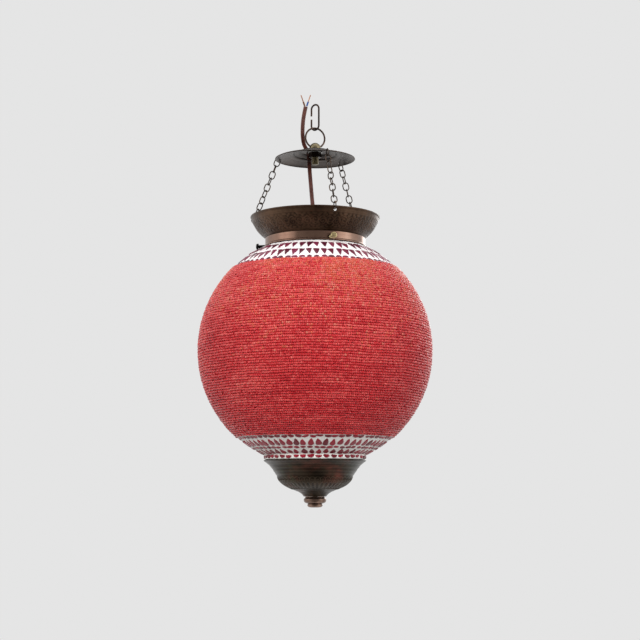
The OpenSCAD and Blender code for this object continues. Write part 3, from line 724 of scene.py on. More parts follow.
# ----------------------------------------------------------------------- flex
HOLE = (-7.4, 9.8)
ctl = [[-10.4, -7, -2.9], [-12.2, -6.6, -11.6], [-13.4, -5.6, -20], [-13.9, -3.6, -28.1],
       [-13.7, 0.2, -36], [-12.3, 5.0, -43], [HOLE[0] - 1.2, HOLE[1] - 1.1, DISC_Z + 1.8],
       [HOLE[0] + 0.3, HOLE[1] + 0.3, DISC_Z - 3], [-6.6, 8.9, DISC_Z - 10],
       [-6.1, 6.4, -72.1], [-4.6, 3.2, -90.8], [-3.0, 1.2, -109.4], [-1.2, 0.2, -124],
       [-0.12, 0, GZ + 17], [0, 0, GZ + 12], [0, 0, GZ + 6], [0, 0, GZ - 5.5]]
SUB = 8
fp = catmull(ctl, SUB)
sec = []
for s in (-1, 1):
    for t in np.linspace(40, 320, 15)[(0 if s < 0 else 1):(15 if s < 0 else 14)]:
        t = math.radians(t if s < 0 else t + 180)
        sec.append((s * 1.0 + 1.25 * math.cos(t), 1.25 * math.sin(t)))
sec = np.array(sec)


def flex_piece(name, i0, i1):
    o = sweep(name, fp[i0:i1 + 1], sec, flex_m, xref=(1, 0, 0))
    return o


o = flex_piece("flex_top_twin", 0, 3 * SUB)
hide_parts("flex_top")
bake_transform(o)
o = flex_piece("flex_mid_twin", 3 * SUB, 8 * SUB)
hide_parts("flex_mid")
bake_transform(o)
o = flex_piece("flex_low_twin", 8 * SUB, len(fp) - 1)
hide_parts("flex_low")
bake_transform(o)

cdir = [np.array((-0.34, -0.1, 1.0)), np.array((0.34, -0.1, 1.0))]
cp0 = [np.array((-11.4, -7, -2.75)), np.array((-9.4, -7, -2.75))]
for i, (nm, mat, sl) in enumerate((("live", core_br, "core_brown"), ("neutral", core_bl, "core_blue"))):
    d = cdir[i] / np.linalg.norm(cdir[i])
    path = cp0[i][None] + d[None] * np.linspace(0.6, 5.4, 12)[:, None]
    tube = sweep(nm, path, circle2(0.95, 20), mat, caps=True, sharp=50)
    put(tube, "anchor", nm + "_core", slot=sl)
    tube.name = nm + "_core_insulation"
    strands = []
    x = np.cross(d, [0, 1.0, 0])
    x /= np.linalg.norm(x)
    y = np.cross(d, x)
    s = np.linspace(4.6, 13.4, 22)
    for k in range(7):
        rad = 0 if k == 0 else 0.39
        ang = 2 * PI * k / 6 + s * 0.55
        q = cp0[i][None] + d[None] * s[:, None] + rad * (np.cos(ang)[:, None] * x + np.sin(ang)[:, None] * y)
        q[-1] += 0.1 * (np.cos(ang[-1]) * x + np.sin(ang[-1]) * y) - d * 0.25 * (k % 3)
        strands.append(sweep("s", q, circle2(0.2, 8), copper_wire, sharp=50))
    put(join(nm + "_conductor_strands", strands), "anchor", nm + "_conductor", slot="copper_wire")


# ------------------------------------------------------------- embossed motifs
def motif(w, h, style, res=14):
    """Height map of one repeat of a raised pattern, w by h mm, periodic across."""
    nx, ny = int(w * res), int(h * res)
    X, Y = np.meshgrid((np.arange(nx) + 0.5) / nx * w, (np.arange(ny) + 0.5) / ny * h, indexing="ij")
    H = np.zeros((nx, ny))

    def line(px, py, width, amp=1.0):
        nonlocal H
        best = np.full(X.shape, 1e9)
        for qx, qy in zip(px, py):
            dx = (X - qx + w / 2) % w - w / 2
            best = np.minimum(best, dx * dx + (Y - qy) ** 2)
        H = np.maximum(H, amp * np.exp(-best / width ** 2))

    def leaf(cx, cy, ang, ln, wd, amp=1.0):
        nonlocal H
        dx = (X - cx + w / 2) % w - w / 2
        dy = Y - cy
        c, s = math.cos(ang), math.sin(ang)
        u, v = (dx * c + dy * s) / ln, (-dx * s + dy * c) / wd
        inside = np.clip(1 - u * u, 0, 1)
        body = np.clip(1 - np.abs(v) / np.maximum(inside, 1e-3), 0, 1) * (np.abs(u) < 1)
        vein = 1 - 0.55 * np.exp(-(v / 0.16) ** 2)
        H = np.maximum(H, amp * np.sqrt(body) * vein)

    t = np.linspace(0, 1, 90)
    if style == "scroll":
        line(t * w, h / 2 + 0.24 * h * np.sin(2 * PI * t), 0.42)
        for cx, cy, sgn, ph in ((w * 0.25, h * 0.46, 1, PI / 2), (w * 0.75, h * 0.54, -1, -PI / 2)):
            a = np.linspace(0, 3.4 * PI, 90)
            rad = 0.27 * h * (1 - a / (4.1 * PI))
            line(cx + rad * np.cos(ph + sgn * a), cy + rad * np.sin(ph + sgn * a), 0.36, 0.95)
            leaf(cx + sgn * 0.0, cy - sgn * 0.36 * h, 0.1 * sgn, 0.17 * w, 0.085 * h)
        for cx, cy, an in ((0.02, 0.2, 0.9), (0.48, 0.8, 0.9), (0.0, 0.8, -0.7), (0.5, 0.2, -0.7),
                           (0.12, 0.9, 0.2), (0.62, 0.1, 0.2), (0.38, 0.9, -0.3), (0.88, 0.1, -0.3)):
            leaf(cx * w, cy * h, an, 0.1 * w, 0.08 * h, 0.9)
    else:
        for k in range(2):
            cx = w * (0.25 + 0.5 * k)
            leaf(cx, h * 0.45, PI / 2, 0.4 * h, 0.13 * w)
            for s in (-1, 1):
                leaf(cx + s * 0.13 * w, h * 0.62, PI / 2 - s * 0.75, 0.26 * h, 0.07 * w, 0.9)
                leaf(cx + s * 0.12 * w, h * 0.3, PI / 2 - s * 0.9, 0.22 * h, 0.06 * w, 0.85)
                a = np.linspace(0, 2.2 * PI, 60)
                rad = 0.14 * h * (1 - a / (3.2 * PI))
                line(cx + s * (0.2 * w + rad * np.cos(a)), h * 0.8 + rad * np.sin(a), 0.34, 0.9)
        line(t * w, h * (0.1 + 0.06 * np.cos(4 * PI * t)), 0.34, 0.9)
    return H, nx, ny


def sample(H, nx, ny, u, v):
    """u in repeats, v from 0 to 1."""
    fx = (u % 1.0) * nx - 0.5
    fy = np.clip(v, 0, 1) * (ny - 1)
    x0, y0 = np.floor(fx).astype(int), np.clip(np.floor(fy).astype(int), 0, ny - 2)
    ax, ay = fx - x0, fy - y0
    g = lambda i, j: H[i % nx, j]
    return (g(x0, y0) * (1 - ax) * (1 - ay) + g(x0 + 1, y0) * ax * (1 - ay) + g(x0, y0 + 1) * (1 - ax) * ay
            + g(x0 + 1, y0 + 1) * ax * ay)


# ----------------------------------------------------------------------- dish
dish_out = [(70.25, 21.1), (69.9, 19.4), (69.3, 17.4), (68.2, 15.2), (66.4, 12.0), (64.0, 8.4), (61.0, 5.0),
            (58.2, 2.2), (56.2, 0.45), (55.0, -0.75)]
dc = resample(catmull(dish_out, 5), 0.62)
dc_o, dc_i = outline(dc, 0.9)
bead = [(70.2 + 1.1 * math.cos(t), 22.1 + 1.1 * math.sin(t)) for t in np.linspace(math.radians(230), math.radians(-80), 14)]
inner = [(55.1, 0.25), (54.2, 0.0), (50, 0.0), (46, 0.0), (46, -0.9), (50, -0.9), (54.9, -0.9)]
din = dc_i[1:-3][::2]
prof = np.concatenate([dc_o[::-1], bead[::-1], din, inner])
n_out = len(dc_o)
arc = np.zeros(len(prof))
seg_len = np.linalg.norm(np.diff(dc_o[::-1], axis=0), axis=1)
arc[1:n_out] = np.cumsum(seg_len)
total = arc[n_out - 1]
nrm = np.zeros((len(prof), 2))
g = np.gradient(dc_o[::-1], axis=0)
g /= np.linalg.norm(g, axis=1)[:, None]
nrm[:n_out] = np.stack([g[:, 1], -g[:, 0]], -1)
MH, mx, my = motif(16.0, total - 7.4, "scroll")
SEG_D = 1100
REP_D = 25
band0, band1 = 2.4, total - 4.6
dish_n = noise1(90, [0.05, 0.04, 0.03], 3)


def dish_disp(th, i, pr):
    s = arc[i]
    on = (i < n_out)
    v = (s - band0) / (band1 - band0)
    wob = 0.012 * np.sin(7 * th + 2.0)
    h = sample(MH, mx, my, th * REP_D / (2 * PI) + wob, v + 0 * th)
    edge = np.clip(np.minimum(v, 1 - v) * 14, 0, 1)
    ground = 0.10 * np.sin(th * 331 + s * 9.0) * np.sin(s * 7.3 + 3 * np.sin(th * 97)) * (1 - np.clip(h * 3, 0, 1))
    worn = 0.72 + 0.28 * np.sin(11 * th + 1.7) * np.sin(17 * th + s * 0.35)
    d = (0.42 * h * worn - 0.08 + ground) * edge * on
    for c, wd, am in ((band0 - 0.5, 0.32, 0.28), (band1 + 0.5, 0.32, 0.3), (band1 + 1.5, 0.25, 0.22), (band1 + 2.4, 0.25, 0.18)):
        d = d + am * np.exp(-((s - c) / wd) ** 2) * on
    d = d + dish_n(th) * 0.6 * on * np.clip(s / 6, 0, 1) * np.clip((total - s) / 3, 0, 1)
    return d * nrm[i, 0], d * nrm[i, 1]


dish = lathe("gallery_dish_embossed", prof, SEG_D, bronze_dish, z0=GZ, disp=dish_disp, sharp=None, weld=True, relief=True)
for a_ in AZ.values():
    ca, sa = math.cos(math.radians(a_)), math.sin(math.radians(a_))
    tl = math.radians(15)
    punch(dish, (69.45 * ca, 69.45 * sa, RIM_Z - 3.1), (math.cos(tl) * ca, math.cos(tl) * sa, -math.sin(tl)), 1.7, 1.6)
put(dish, "gallery", "gallery_dish", slot="bronze_dark")

# --------------------------------------------------------------------- collar
cz = -11.4
col = fillet([(46.5, -0.92), (54.3, -0.92), (55.05, -1.5), (55.0, -4.2), (55.06, -4.5), (55.0, -4.8), (55.0, cz + 2.4), (55.5, cz + 2.05),
              (55.9, cz + 1.4), (55.7, cz + 0.6), (55.0, cz), (54.2, cz), (54.2, -1.82), (46.5, -1.82)],
             [0.1, 0.5, 0.5, 0.3, 0.3, 0.3, 0.3, 0.3, 0.5, 0.4, 0.3, 0.2, 0.4, 0.1], 4)
col = resample(np.concatenate([col, col[:1]]), 1.2)[:-1]
cn = noise1(40, [0.05, 0.035, 0.025, 0.015], 11)
collar = lathe("gallery_collar_spun", col, 360, copper, z0=GZ, sharp=45,
               disp=lambda th, i, pr: ((pr[:, 0][i] > 52) * (cn(th) + 0.03 * np.sin(4 * th)) + 0 * i, 0 * th + 0 * i))
bosses = []
for a_ in AZ.values():
    b = lathe("boss", fillet([(2.05, 52.4), (3.2, 52.4), (3.2, 54.5), (2.05, 54.5)], 0.2, 2), 32, copper)
    b.data.transform(Matrix.Translation((0, 0, (GZ - 7.8) * MM)) @ Matrix.Rotation(math.radians(a_), 4, "Z") @ Matrix.Rotation(PI / 2, 4, "Y"))
    bosses.append(b)
for a_ in AZ.values():
    ca, sa = math.cos(math.radians(a_)), math.sin(math.radians(a_))
    punch(collar, (54.6 * ca, 54.6 * sa, GZ - 7.8), (ca, sa, 0), 2.05, 1.5)
put(join("gallery_collar_spun", [collar] + bosses), "gallery", "gallery_collar", slot="copper_polished")

rv = []
for k in range(4):
    t = 1.52 if k % 2 == 0 else 0.0
    r_ = lathe("rv", fillet([(0, t + 1.15), (1.2, t + 1.05), (2.2, t + 0.55), (2.6, t + 0.04), (1.5, t + 0.04), (1.5, -1.85),
                             (2.5, -1.86), (2.4, -2.4), (0, -2.45)], 0.25, 3, closed=False), 32, copper, closed=False, weld=True)
    r_.data.transform(Matrix.Rotation(math.radians(20 + 90 * k), 4, "Z") @ Matrix.Translation((49.4 * MM, 0, GZ * MM)))
    rv.append(r_)
put(join("gallery_rivets_domed", rv), "gallery", "gallery_rivets", slot="copper_polished")


# --------------------------------------------------------------- clamp screws
def clamp(name, az, mat):
    tip_in, head = 50.06, 66.5
    sh = threaded("sh", 2.0, 0.7, tip_in + 1.66, head - 2.5, mat, 28, 7, end=0.5)
    hd = lathe("hd", fillet([(0, head), (2.9, head), (3.5, head - 0.7), (3.5, head - 2.6), (0, head - 2.6)], [0, 0.5, 0.5, 0.25, 0], 4, closed=False), 48, mat, closed=False, weld=True)
    bm = bmesh.new()
    bmesh.ops.create_cube(bm, size=1.0)
    me = bpy.data.meshes.new("slot")
    bm.to_mesh(me)
    bm.free()
    cutter = bpy.data.objects.new("slot", me)
    cutter.matrix_world = Matrix.Translation((0, 0, (head - 0.2) * MM)) @ Matrix.Diagonal((0.9 * MM, 12 * MM, 2.0 * MM, 1))
    bpy.context.scene.collection.objects.link(cutter)
    md = hd.modifiers.new("b", "BOOLEAN")
    md.operation, md.solver, md.object = "DIFFERENCE", "EXACT", cutter
    bpy.context.view_layer.update()
    me = bpy.data.meshes.new_from_object(hd.evaluated_get(bpy.context.evaluated_depsgraph_get()))
    hd.modifiers.clear()
    hd.data = me
    bpy.data.objects.remove(cutter)
    me.materials.clear()
    me.materials.append(mat)
    me.polygons.foreach_set("use_smooth", [True] * len(me.polygons))
    me.set_sharp_from_angle(angle=math.radians(32))
    o = join("clamp_screw_" + name, [sh, hd])
    turn = {"front": 40, "left": 15, "rear": -30}[name]
    M = Matrix.Translation((0, 0, (GZ - 7.8) * MM)) @ Matrix.Rotation(math.radians(az), 4, "Z") @ Matrix.Rotation(PI / 2, 4, "Y")
    o.data.transform(M @ Matrix.Rotation(math.radians(turn), 4, "Z"))
    put(o, "screw_" + name, "screw_" + name, slot="screw_black" if name == "left" else "brass_bright")
    tp = lathe("clamp_tip_" + name, fillet([(0, tip_in), (1.8, tip_in), (1.8, tip_in + 1.6), (0.9, tip_in + 1.6), (0.9, tip_in + 4), (0, tip_in + 4)],
                                           [0, 0.35, 0.2, 0, 0.2, 0], 3, closed=False), 32, rubber, closed=False, weld=True)
    tp.data.transform(M)
    put(tp, "tip_" + name, "tip_" + name, slot="rubber_black")


for nm, az in AZ.items():
    clamp(nm, az, black_steel if nm == "left" else brass)

# ------------------------------------------------------------- bracket and holder
nip = threaded("nip", 5.0, 1.0, HZ - 4, GZ + 6.5, brass_old, 48, 8, bore=3.6, end=0.4)
put(nip, "gallery", "hollow_nipple", slot="brass_old")
nip.name = "hollow_nipple_threaded"
put(hexnut("nipple_nut_upper_hex", 14, 2, 5.0, GZ + 1.54, brass_old), "gallery", "nipple_nut_upper", slot="brass_old")
put(hexnut("nipple_nut_lower_hex", 14, 2, 5.0, GZ - 2.0, brass_old), "gallery", "nipple_nut_lower", slot="brass_old")

lx = np.linspace(-52.4, 52.4, 90)
hw = 6.5 * np.sqrt(np.clip(1 - (np.maximum(np.abs(lx) - 46.6, 0) / 5.9) ** 2, 0.02, 1))
secs = []
for x_, h_ in zip(lx, hw):
    secs.append([(x_, -h_, 0.25), (x_, -h_ + 0.25, 0.02), (x_, h_ - 0.25, 0.02), (x_, h_, 0.25), (x_, h_, 1.25), (x_, h_ - 0.25, 1.5), (x_, -h_ + 0.25, 1.5), (x_, -h_, 1.25)])
secs = np.array(secs)
n_, m_ = secs.shape[:2]
i = np.arange(n_ - 1)[:, None]
j = np.arange(m_)[None]
f = np.stack([i * m_ + j, (i + 1) * m_ + j, (i + 1) * m_ + (j + 1) % m_, i * m_ + (j + 1) % m_], -1).reshape(-1, 4).tolist()
f += [list(range(m_)), [(n_ - 1) * m_ + k for k in range(m_ - 1, -1, -1)]]
o = make("holder_bracket_bar", secs.reshape(-1, 3) @ rotz(20).T + np.array([0, 0, GZ]), f, steel, sharp=40)
put(o, "gallery", "holder_bracket", slot="steel_plated")

grip = lathe("cord_grip_moulded", fillet([(3.3, 0.02), (5.6, 0.02), (5.6, 3.0), (4.4, 6.0), (3.3, 6.0)], [0.2, 0.4, 0.6, 0.5, 0.3], 4), 48, black_pl, z0=GZ + 6.5,
             disp=lambda th, i, pr: ((pr[:, 0][i] < 4.2) * (-3.3 + np.where(np.abs(np.cos(th)) > 0.55, 1.15 * np.abs(np.cos(th)) + np.sqrt(np.clip(1.62 ** 2 - (1.15 * np.sin(th)) ** 2, 0.01, 9)), 1.15 * np.abs(np.cos(th)) + np.sqrt(np.clip(1.62 ** 2 - (1.15 * np.sin(th)) ** 2, 0.01, 9)))) + 0 * i, 0 * th + 0 * i))
put(grip, "gallery", "cord_grip", slot="black_plastic")

cap = [(5.1, 0), (10, 0), (14.2, -1.2), (17.2, -3.6), (19, -7), (19.6, -11), (19.6, -17.6)]
co, ci = outline(catmull(cap, 5), 1.0)
put(lathe("holder_cap_spun", np.concatenate([co, ci[::-1]]), 96, brass_old, z0=HZ, sharp=50), "gallery", "holder_cap", slot="brass_old")
put(lathe("holder_skirt_spun", fillet([(19.6, -17.7), (20, -18.4), (20, -21), (20.25, -21.6), (20, -22.2), (20, -52), (19, -54), (16.2, -54), (16.2, -53), (18.6, -53),
                                       (19, -51.6), (19, -18.6), (18.7, -17.7)], 0.5, 3), 96, brass_old, z0=HZ, sharp=50),
    "gallery", "holder_skirt", slot="brass_old")
put(lathe("holder_insert_glazed", fillet([(1.3, -18.5), (18.4, -18.5), (18.4, -52.4), (14.6, -52.4), (14.6, -28.4), (1.3, -28.4)], [0.2, 1.2, 0.8, 0.4, 0.8, 0.2], 4), 96, porcelain, z0=HZ),
    "gallery", "holder_insert", slot="porcelain")


def wavy_tube(name, r, amp, pitch_, z0, z1, wall, mat, ends=None):
    rows = int((z1 - z0) / pitch_ * 10)
    z = np.linspace(z0, z1, rows)
    segs = 72
    th = np.linspace(0, 2 * PI, segs, endpoint=False)
    ph = 2 * PI * (z[None] / pitch_) - th[:, None]
    blend_share = np.clip(np.minimum(z - z0, z1 - z) / 2.0, 0, 1)[None]
    ro = r + amp * (np.cos(ph) - 1) * blend_share
    vo = np.stack([ro * np.cos(th)[:, None], ro * np.sin(th)[:, None], np.repeat(z[None], segs, 0)], -1)
    ri = ro - wall
    vi = np.stack([ri * np.cos(th)[:, None], ri * np.sin(th)[:, None], np.repeat(z[None], segs, 0)], -1)[:, ::-1]
    v = np.concatenate([vo, vi], 1)
    n = v.shape[1]
    i = np.arange(segs)[:, None]
    j = np.arange(n)[None]
    i2, j2 = (i + 1) % segs, (j + 1) % n
    f = np.stack([i * n + j, i2 * n + j, i2 * n + j2, i * n + j2], -1).reshape(-1, 4)
    return make(name, v.reshape(-1, 3), f, mat, sharp=60)


put(wavy_tube("holder_thread_shell_rolled", 14.5, 0.22, 3.6, HZ - 51.8, HZ - 29.4, 0.4, brass), "gallery", "holder_thread_shell", slot="brass_bright")
bz = HZ - 29.6
capo = wavy_tube("c", 13.15, 0.35, 3.6, bz - 25.1, bz - 5, 0.4, steel)
capt = lathe("ct", fillet([(13.1, -5.1), (9, -2.7), (4.7, -2.5), (4.7, -3.4), (8.6, -3.7), (12.7, -5.6)], 0.5, 3), 72, steel, z0=bz)
put(join("bulb_cap_rolled", [capo, capt]), "bulb", "bulb_cap", slot="steel_plated")
put(lathe("bulb_contact_button", fillet([(0, -0.1), (3, -0.1), (4.6, -2.4), (0, -2.4)], [0, 0.8, 0.2, 0], 4, closed=False), 48, steel, closed=False, weld=True, z0=bz),
    "bulb_foot", "bulb_contact", slot="steel_plated")
bp = [(12.4, -25.2), (13.2, -32), (16.2, -40), (21.8, -50), (26.6, -58.5), (29.3, -67), (30, -76), (28.9, -85), (25.6, -93.5), (20, -100.6), (12.4, -105.6), (0, -107.9)]
bo = catmull(bp, 6)
bi = bo.copy()
bi[:, 0] = np.maximum(bi[:, 0] - 0.8, 0)
bi[-6:, 1] += 0.8
put(lathe("bulb_glass_blown", np.concatenate([bo, bi[::-1]]), 96, bulb_m, z0=bz, closed=True, weld=True), "bulb", "bulb_glass", slot="bulb_glass")
for s, nm, mt in ((-1, "live", core_br), (1, "neutral", core_bl)):
    q = catmull([[s * 1.7, 0, GZ - 5.7], [s * 2, 0, HZ - 5.4], [s * 6.4, 0, HZ - 10.5], [s * 9.2, 0, HZ - 13.2]], 8)
    o = sweep("lead_%s_wire" % nm, q, circle2(0.9, 14), mt, xref=(0, 1, 0), sharp=50)
    put(o, "gallery", "lead_" + nm, slot="core_brown" if s < 0 else "core_blue")
for nd, mt in (("holder_contact", brass), ("terminal_screws", steel)):
    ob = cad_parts[nd]
    ob.data.materials.clear()
    ob.data.materials.append(mt)

# ---------------------------------------------------------------------- globe
ang = [math.radians(t) for t in np.linspace(math.degrees(math.asin(50 / R)) + 1.2, 177.6, 110)]
gout = [(R * math.sin(t), R * math.cos(t)) for t in ang]
gin = [((R - 3) * math.sin(t), (R - 3) * math.cos(t)) for t in np.linspace(math.radians(177.5), math.asin(47 / (R - 3)) + 0.02, 110)]
lip = GZ - 3.2 - ZC
neck = fillet([(R * math.sin(ang[0]), R * math.cos(ang[0])), (50, NECK_Z - ZC + 0.4), (50, lip - 2.2), (51.6, lip - 1.5), (51.6, lip - 0.2), (47, lip), (47, NECK_Z - ZC - 3), gin[-1]],
              [0, 1.5, 1.0, 0.7, 0.8, 1.2, 2.0, 0], 5, closed=False)
loop = np.concatenate([np.array(gout)[::-1], neck[1:-1], np.array(gin)[::-1]])
put(lathe("globe_glass_blown", loop, 180, glass_m, z0=ZC, sharp=60), "globe", "glass_globe", slot="globe_glass")

# bead bed, a thin adhesive layer under the strings
tb = np.radians(np.linspace(BEAD_FROM - 0.25, BEAD_TO + 0.25, 90))
bo_ = np.stack([(R + 1.25) * np.sin(tb), (R + 1.25) * np.cos(tb)], -1)
bi_ = np.stack([(R + 0.1) * np.sin(tb), (R + 0.1) * np.cos(tb)], -1)
bed = lathe("bead_bed", np.concatenate([bo_, bi_[::-1]]), 240, bed_mat, z0=ZC, sharp=60)
put(bed, "globe", slot="bead_red")

# strung beads
prof_b = [(-1.0, 0.66), (-0.80, 0.95), (0.0, 1.0), (0.80, 0.95), (1.0, 0.66)]
NS = 8
tv, tf = [], []
for x_, r_ in prof_b:
    for k in range(NS):
        tv.append((x_, r_ * math.cos(2 * PI * k / NS), r_ * math.sin(2 * PI * k / NS)))
for i_ in range(len(prof_b) - 1):
    for k in range(NS):
        k2 = (k + 1) % NS
        tf.append((i_ * NS + k, i_ * NS + k2, (i_ + 1) * NS + k2, (i_ + 1) * NS + k))
tv, tf = np.array(tv), np.array(tf)
RB = R + 1.62
dt = math.radians(BEAD_TO - BEAD_FROM) / BEAD_ROWS
shared = [noise1(9, [0.0016, 0.0012], 31), noise1(14, [0.0011, 0.0009], 32), noise1(22, [0.0008, 0.0006], 33)]
C, EX, EY, EZ, SC, MI = [], [], [], [], [], []
row_of = []
for i_ in range(BEAD_ROWS):
    t0 = math.radians(BEAD_FROM) + (i_ + 0.5) * dt
    n = int(round(2 * PI * RB * math.sin(t0) / (2.16 * rng.uniform(0.985, 1.02))))
    size = np.clip(rng.normal(1.0, 0.075, n), 0.8, 1.22)
    edges = np.concatenate([[0], np.cumsum(size)])
    phi = 2 * PI * (0.5 * (edges[1:] + edges[:-1]) / edges[-1]) + rng.uniform(0, 2 * PI)
    u = i_ / BEAD_ROWS
    wave = shared[0](phi) * math.sin(PI * u) * 1.2 + shared[1](phi) * math.sin(2 * PI * u + 1) + shared[2](phi + 1.3 * u) * 0.8
    own = noise1(36, [0.0009, 0.0008, 0.0006], 100 + i_)(phi)
    t = t0 + wave + own + rng.normal(0, 0.0011, n)
    rad = RB + rng.normal(0, 0.10, n) + noise1(30, [0.08, 0.07], 300 + i_)(phi)
    st, ct, sp, cp = np.sin(t), np.cos(t), np.sin(phi), np.cos(phi)
    nrm_ = np.stack([st * cp, st * sp, ct], -1)
    ep = np.stack([-sp, cp, 0 * sp], -1)
    et = np.stack([ct * cp, ct * sp, -st], -1)
    a1, a2, a3 = rng.normal(0, 0.14, n), rng.normal(0, 0.13, n), rng.uniform(0, 2 * PI, n)
    ex = ep + a1[:, None] * et + a2[:, None] * nrm_
    ex /= np.linalg.norm(ex, axis=1)[:, None]
    ey0 = np.cross(nrm_, ex)
    ey0 /= np.linalg.norm(ey0, axis=1)[:, None]
    ez0 = np.cross(ex, ey0)
    ey = np.cos(a3)[:, None] * ey0 + np.sin(a3)[:, None] * ez0
    ez = np.cross(ex, ey)
    C.append(nrm_ * rad[:, None] + np.array([0, 0, ZC]))
    EX.append(ex * (1.085 * size)[:, None])
    rs = 1.34 * np.clip(rng.normal(1, 0.05, n), 0.86, 1.12)
    EY.append(ey * rs[:, None])
    EZ.append(ez * rs[:, None])
    # each string is filled from a few batches, so the tint runs on from bead to bead
    run = np.repeat(rng.normal(0, 1, n), rng.integers(3, 18, n))[:n]
    patch = noise1(8, [0.55, 0.4, 0.3], 501)(phi + 0.9 * u) * math.cos(5 * u) + noise1(12, [0.5, 0.4], 502)(phi - 1.7 * u) * math.sin(9 * u + 1)
    # the 1.7 * (0.5 - u) term is painted light: strings lighter towards the top and darker towards the bottom, as the
    # light from above falls
    tone = 0.5 * run + 0.34 * patch + 0.6 * rng.normal(0, 1, n) + 1.7 * (0.5 - u)
    q01 = np.clip(0.5 + 0.5 * np.tanh(0.8 * tone), 0.001, 0.999)
    mi = np.searchsorted(BEAD_Q / BEAD_Q[-1], q01).clip(0, len(BEAD_Q) - 1)
    # paler, more orange strings towards the top and on one side: painted light, where the light from above falls
    blend_share = 0.42 * math.exp(-(u / 0.30) ** 2) * np.clip(0.75 + patch + 0.45 * np.cos(phi + 0.9), 0, 1.6)
    painted_top_light = rng.random(n) < blend_share
    mi[painted_top_light] = np.where(rng.random(n) < 0.7, len(BEAD_Q), len(BEAD_Q) + 1)[painted_top_light]
    MI.append(mi)
    keep = rng.random(n) > 0.0025
    for arr in (C, EX, EY, EZ, MI):
        arr[-1] = arr[-1][keep]
    row_of.append(np.full(len(MI[-1]), i_))
C, EX, EY, EZ, MI, row_of = (np.concatenate(a_) for a_ in (C, EX, EY, EZ, MI, row_of))
total_b = len(C)
per = len(tf) * 2
zones = int(math.ceil(total_b * per / 190000))
cuts = np.linspace(0, total_b, zones + 1).astype(int)
print("beads", total_b, "zones", zones)
for z_ in range(zones):
    s_ = slice(cuts[z_], cuts[z_ + 1])
    c_, x_, y_, w_ = C[s_], EX[s_], EY[s_], EZ[s_]
    V = c_[:, None] + tv[None, :, 0, None] * x_[:, None] + tv[None, :, 1, None] * y_[:, None] + tv[None, :, 2, None] * w_[:, None]
    F = (tf[None] + (np.arange(len(c_)) * len(tv))[:, None, None]).reshape(-1, 4)
    o = make("beads_zone_%02d" % z_, V.reshape(-1, 3), F, bead_mats, np.repeat(MI[s_], len(tf)))
    put(o, "globe", *(["bead_wrap"] if z_ == 0 else []), slot="bead_red")
    if z_ == 0:
        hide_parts("bead_wrap")


# -------------------------------------------------------------------- plaster
def on_sphere(t, phi, rad):
    return np.stack([rad * np.sin(t) * np.cos(phi), rad * np.sin(t) * np.sin(phi), ZC + rad * np.cos(t)], -1)


def field(seed, n=26, kt=60.0, kp=60):
    g = np.random.default_rng(seed)
    a, b_, c_ = g.uniform(-kt, kt, n), g.integers(-kp, kp, n), g.uniform(0, 2 * PI, n)
    w = g.uniform(0.4, 1, n)
    return lambda t, ph: sum(w[k] * np.sin(a[k] * t + b_[k] * ph + c_[k]) for k in range(n)) / math.sqrt(n * 0.35)


pf = field(5)
pf2 = field(6, 30, 220.0, 200)


def plaster_grid(name, tt, rbase, mat, extra=None):
    segs = 900
    ph = np.linspace(0, 2 * PI, segs, endpoint=False)[:, None]
    T = np.asarray(tt)[None, :]
    n = T.shape[1]
    rad = rbase + 0.10 * pf(T, ph) + 0.05 * pf2(T, ph)
    v = on_sphere(T + 0 * ph, ph + 0 * T, rad)
    inner = on_sphere(T[:, ::-1] + 0 * ph, ph + 0 * T, R + 0.05)[:, [0, -1]]
    if extra is not None:
        e = np.array(extra)
        er = e[None, :, 0] + 0.06 * pf(e[None, :, 1] * 0.05, ph)
        ev = np.stack([er * np.cos(ph), er * np.sin(ph), e[None, :, 1] + 0 * ph], -1)
        v = np.concatenate([v, ev], 1)
        inner = inner[:, 1:]
    v = np.concatenate([v, inner], 1)
    n = v.shape[1]
    i = np.arange(segs)[:, None]
    j = np.arange(n)[None]
    i2, j2 = (i + 1) % segs, (j + 1) % n
    f = np.stack([i * n + j, i2 * n + j, i2 * n + j2, i * n + j2], -1).reshape(-1, 4)
    return make(name, v.reshape(-1, 3), f, mat, sharp=60, weld=True)


up = plaster_grid("plaster_upper_band", np.radians(np.linspace(26.9, BEAD_FROM - 0.1, 44)), RP + 0.2, plaster_w)
put(up, "globe", "plaster_upper", slot="plaster_white")
lo = plaster_grid("plaster_lower_band", np.radians(np.linspace(BEAD_TO + 0.1, 154.0, 40)), RP + 0.15, plaster_c,
                  extra=[(54.85, ZB + 11.2), (54.75, ZB + 9.6), (54.6, ZB + 8.0), (54.3, ZB + 6.9), (53.6, ZB + 6.2), (51.5, ZB + 6.1), (46, ZB + 6.2), (43.5, ZB + 7.6)])
put(lo, "globe", "plaster_lower", slot="plaster_cream")


# ---------------------------------------------------------------------- tiles
def round_outline(pts, n_target=16, cut=0.22):
    p = np.array(pts, float)
    q = []
    for k in range(len(p)):
        a, b_, c_ = p[k - 1], p[k], p[(k + 1) % len(p)]
        q.append(b_ + (a - b_) * cut)
        q.append(b_ + (c_ - b_) * cut)
    return np.array(q)


def tri(h, w):
    return [(-h / 2, -w / 2), (-h / 2.05, 0), (-h / 2, w / 2), (-h / 5, w / 2.6), (h / 2, 0.3), (h / 2, -0.3), (-h / 5, -w / 2.6)]


def drop(h, w):
    return [(-h / 2, 0), (-h / 6, -w / 3), (h / 5, -w / 2), (h / 2.35, -w / 2.9), (h / 2, 0), (h / 2.35, w / 2.9), (h / 5, w / 2), (-h / 6, w / 3)]


def domep(h, w):
    return [(h / 2, -w / 2), (h / 2, w / 2), (0, w / 2.15), (-h / 3, w / 3.4), (-h / 2, 0), (-h / 3, -w / 3.4), (0, -w / 2.15)]


def bowlp(h, w):
    return [(-x, y) for x, y in domep(h, w)]


def ovalp(h, w):
    return [(h / 2 * math.cos(k * PI / 5), w / 2 * math.sin(k * PI / 5)) for k in range(10)]


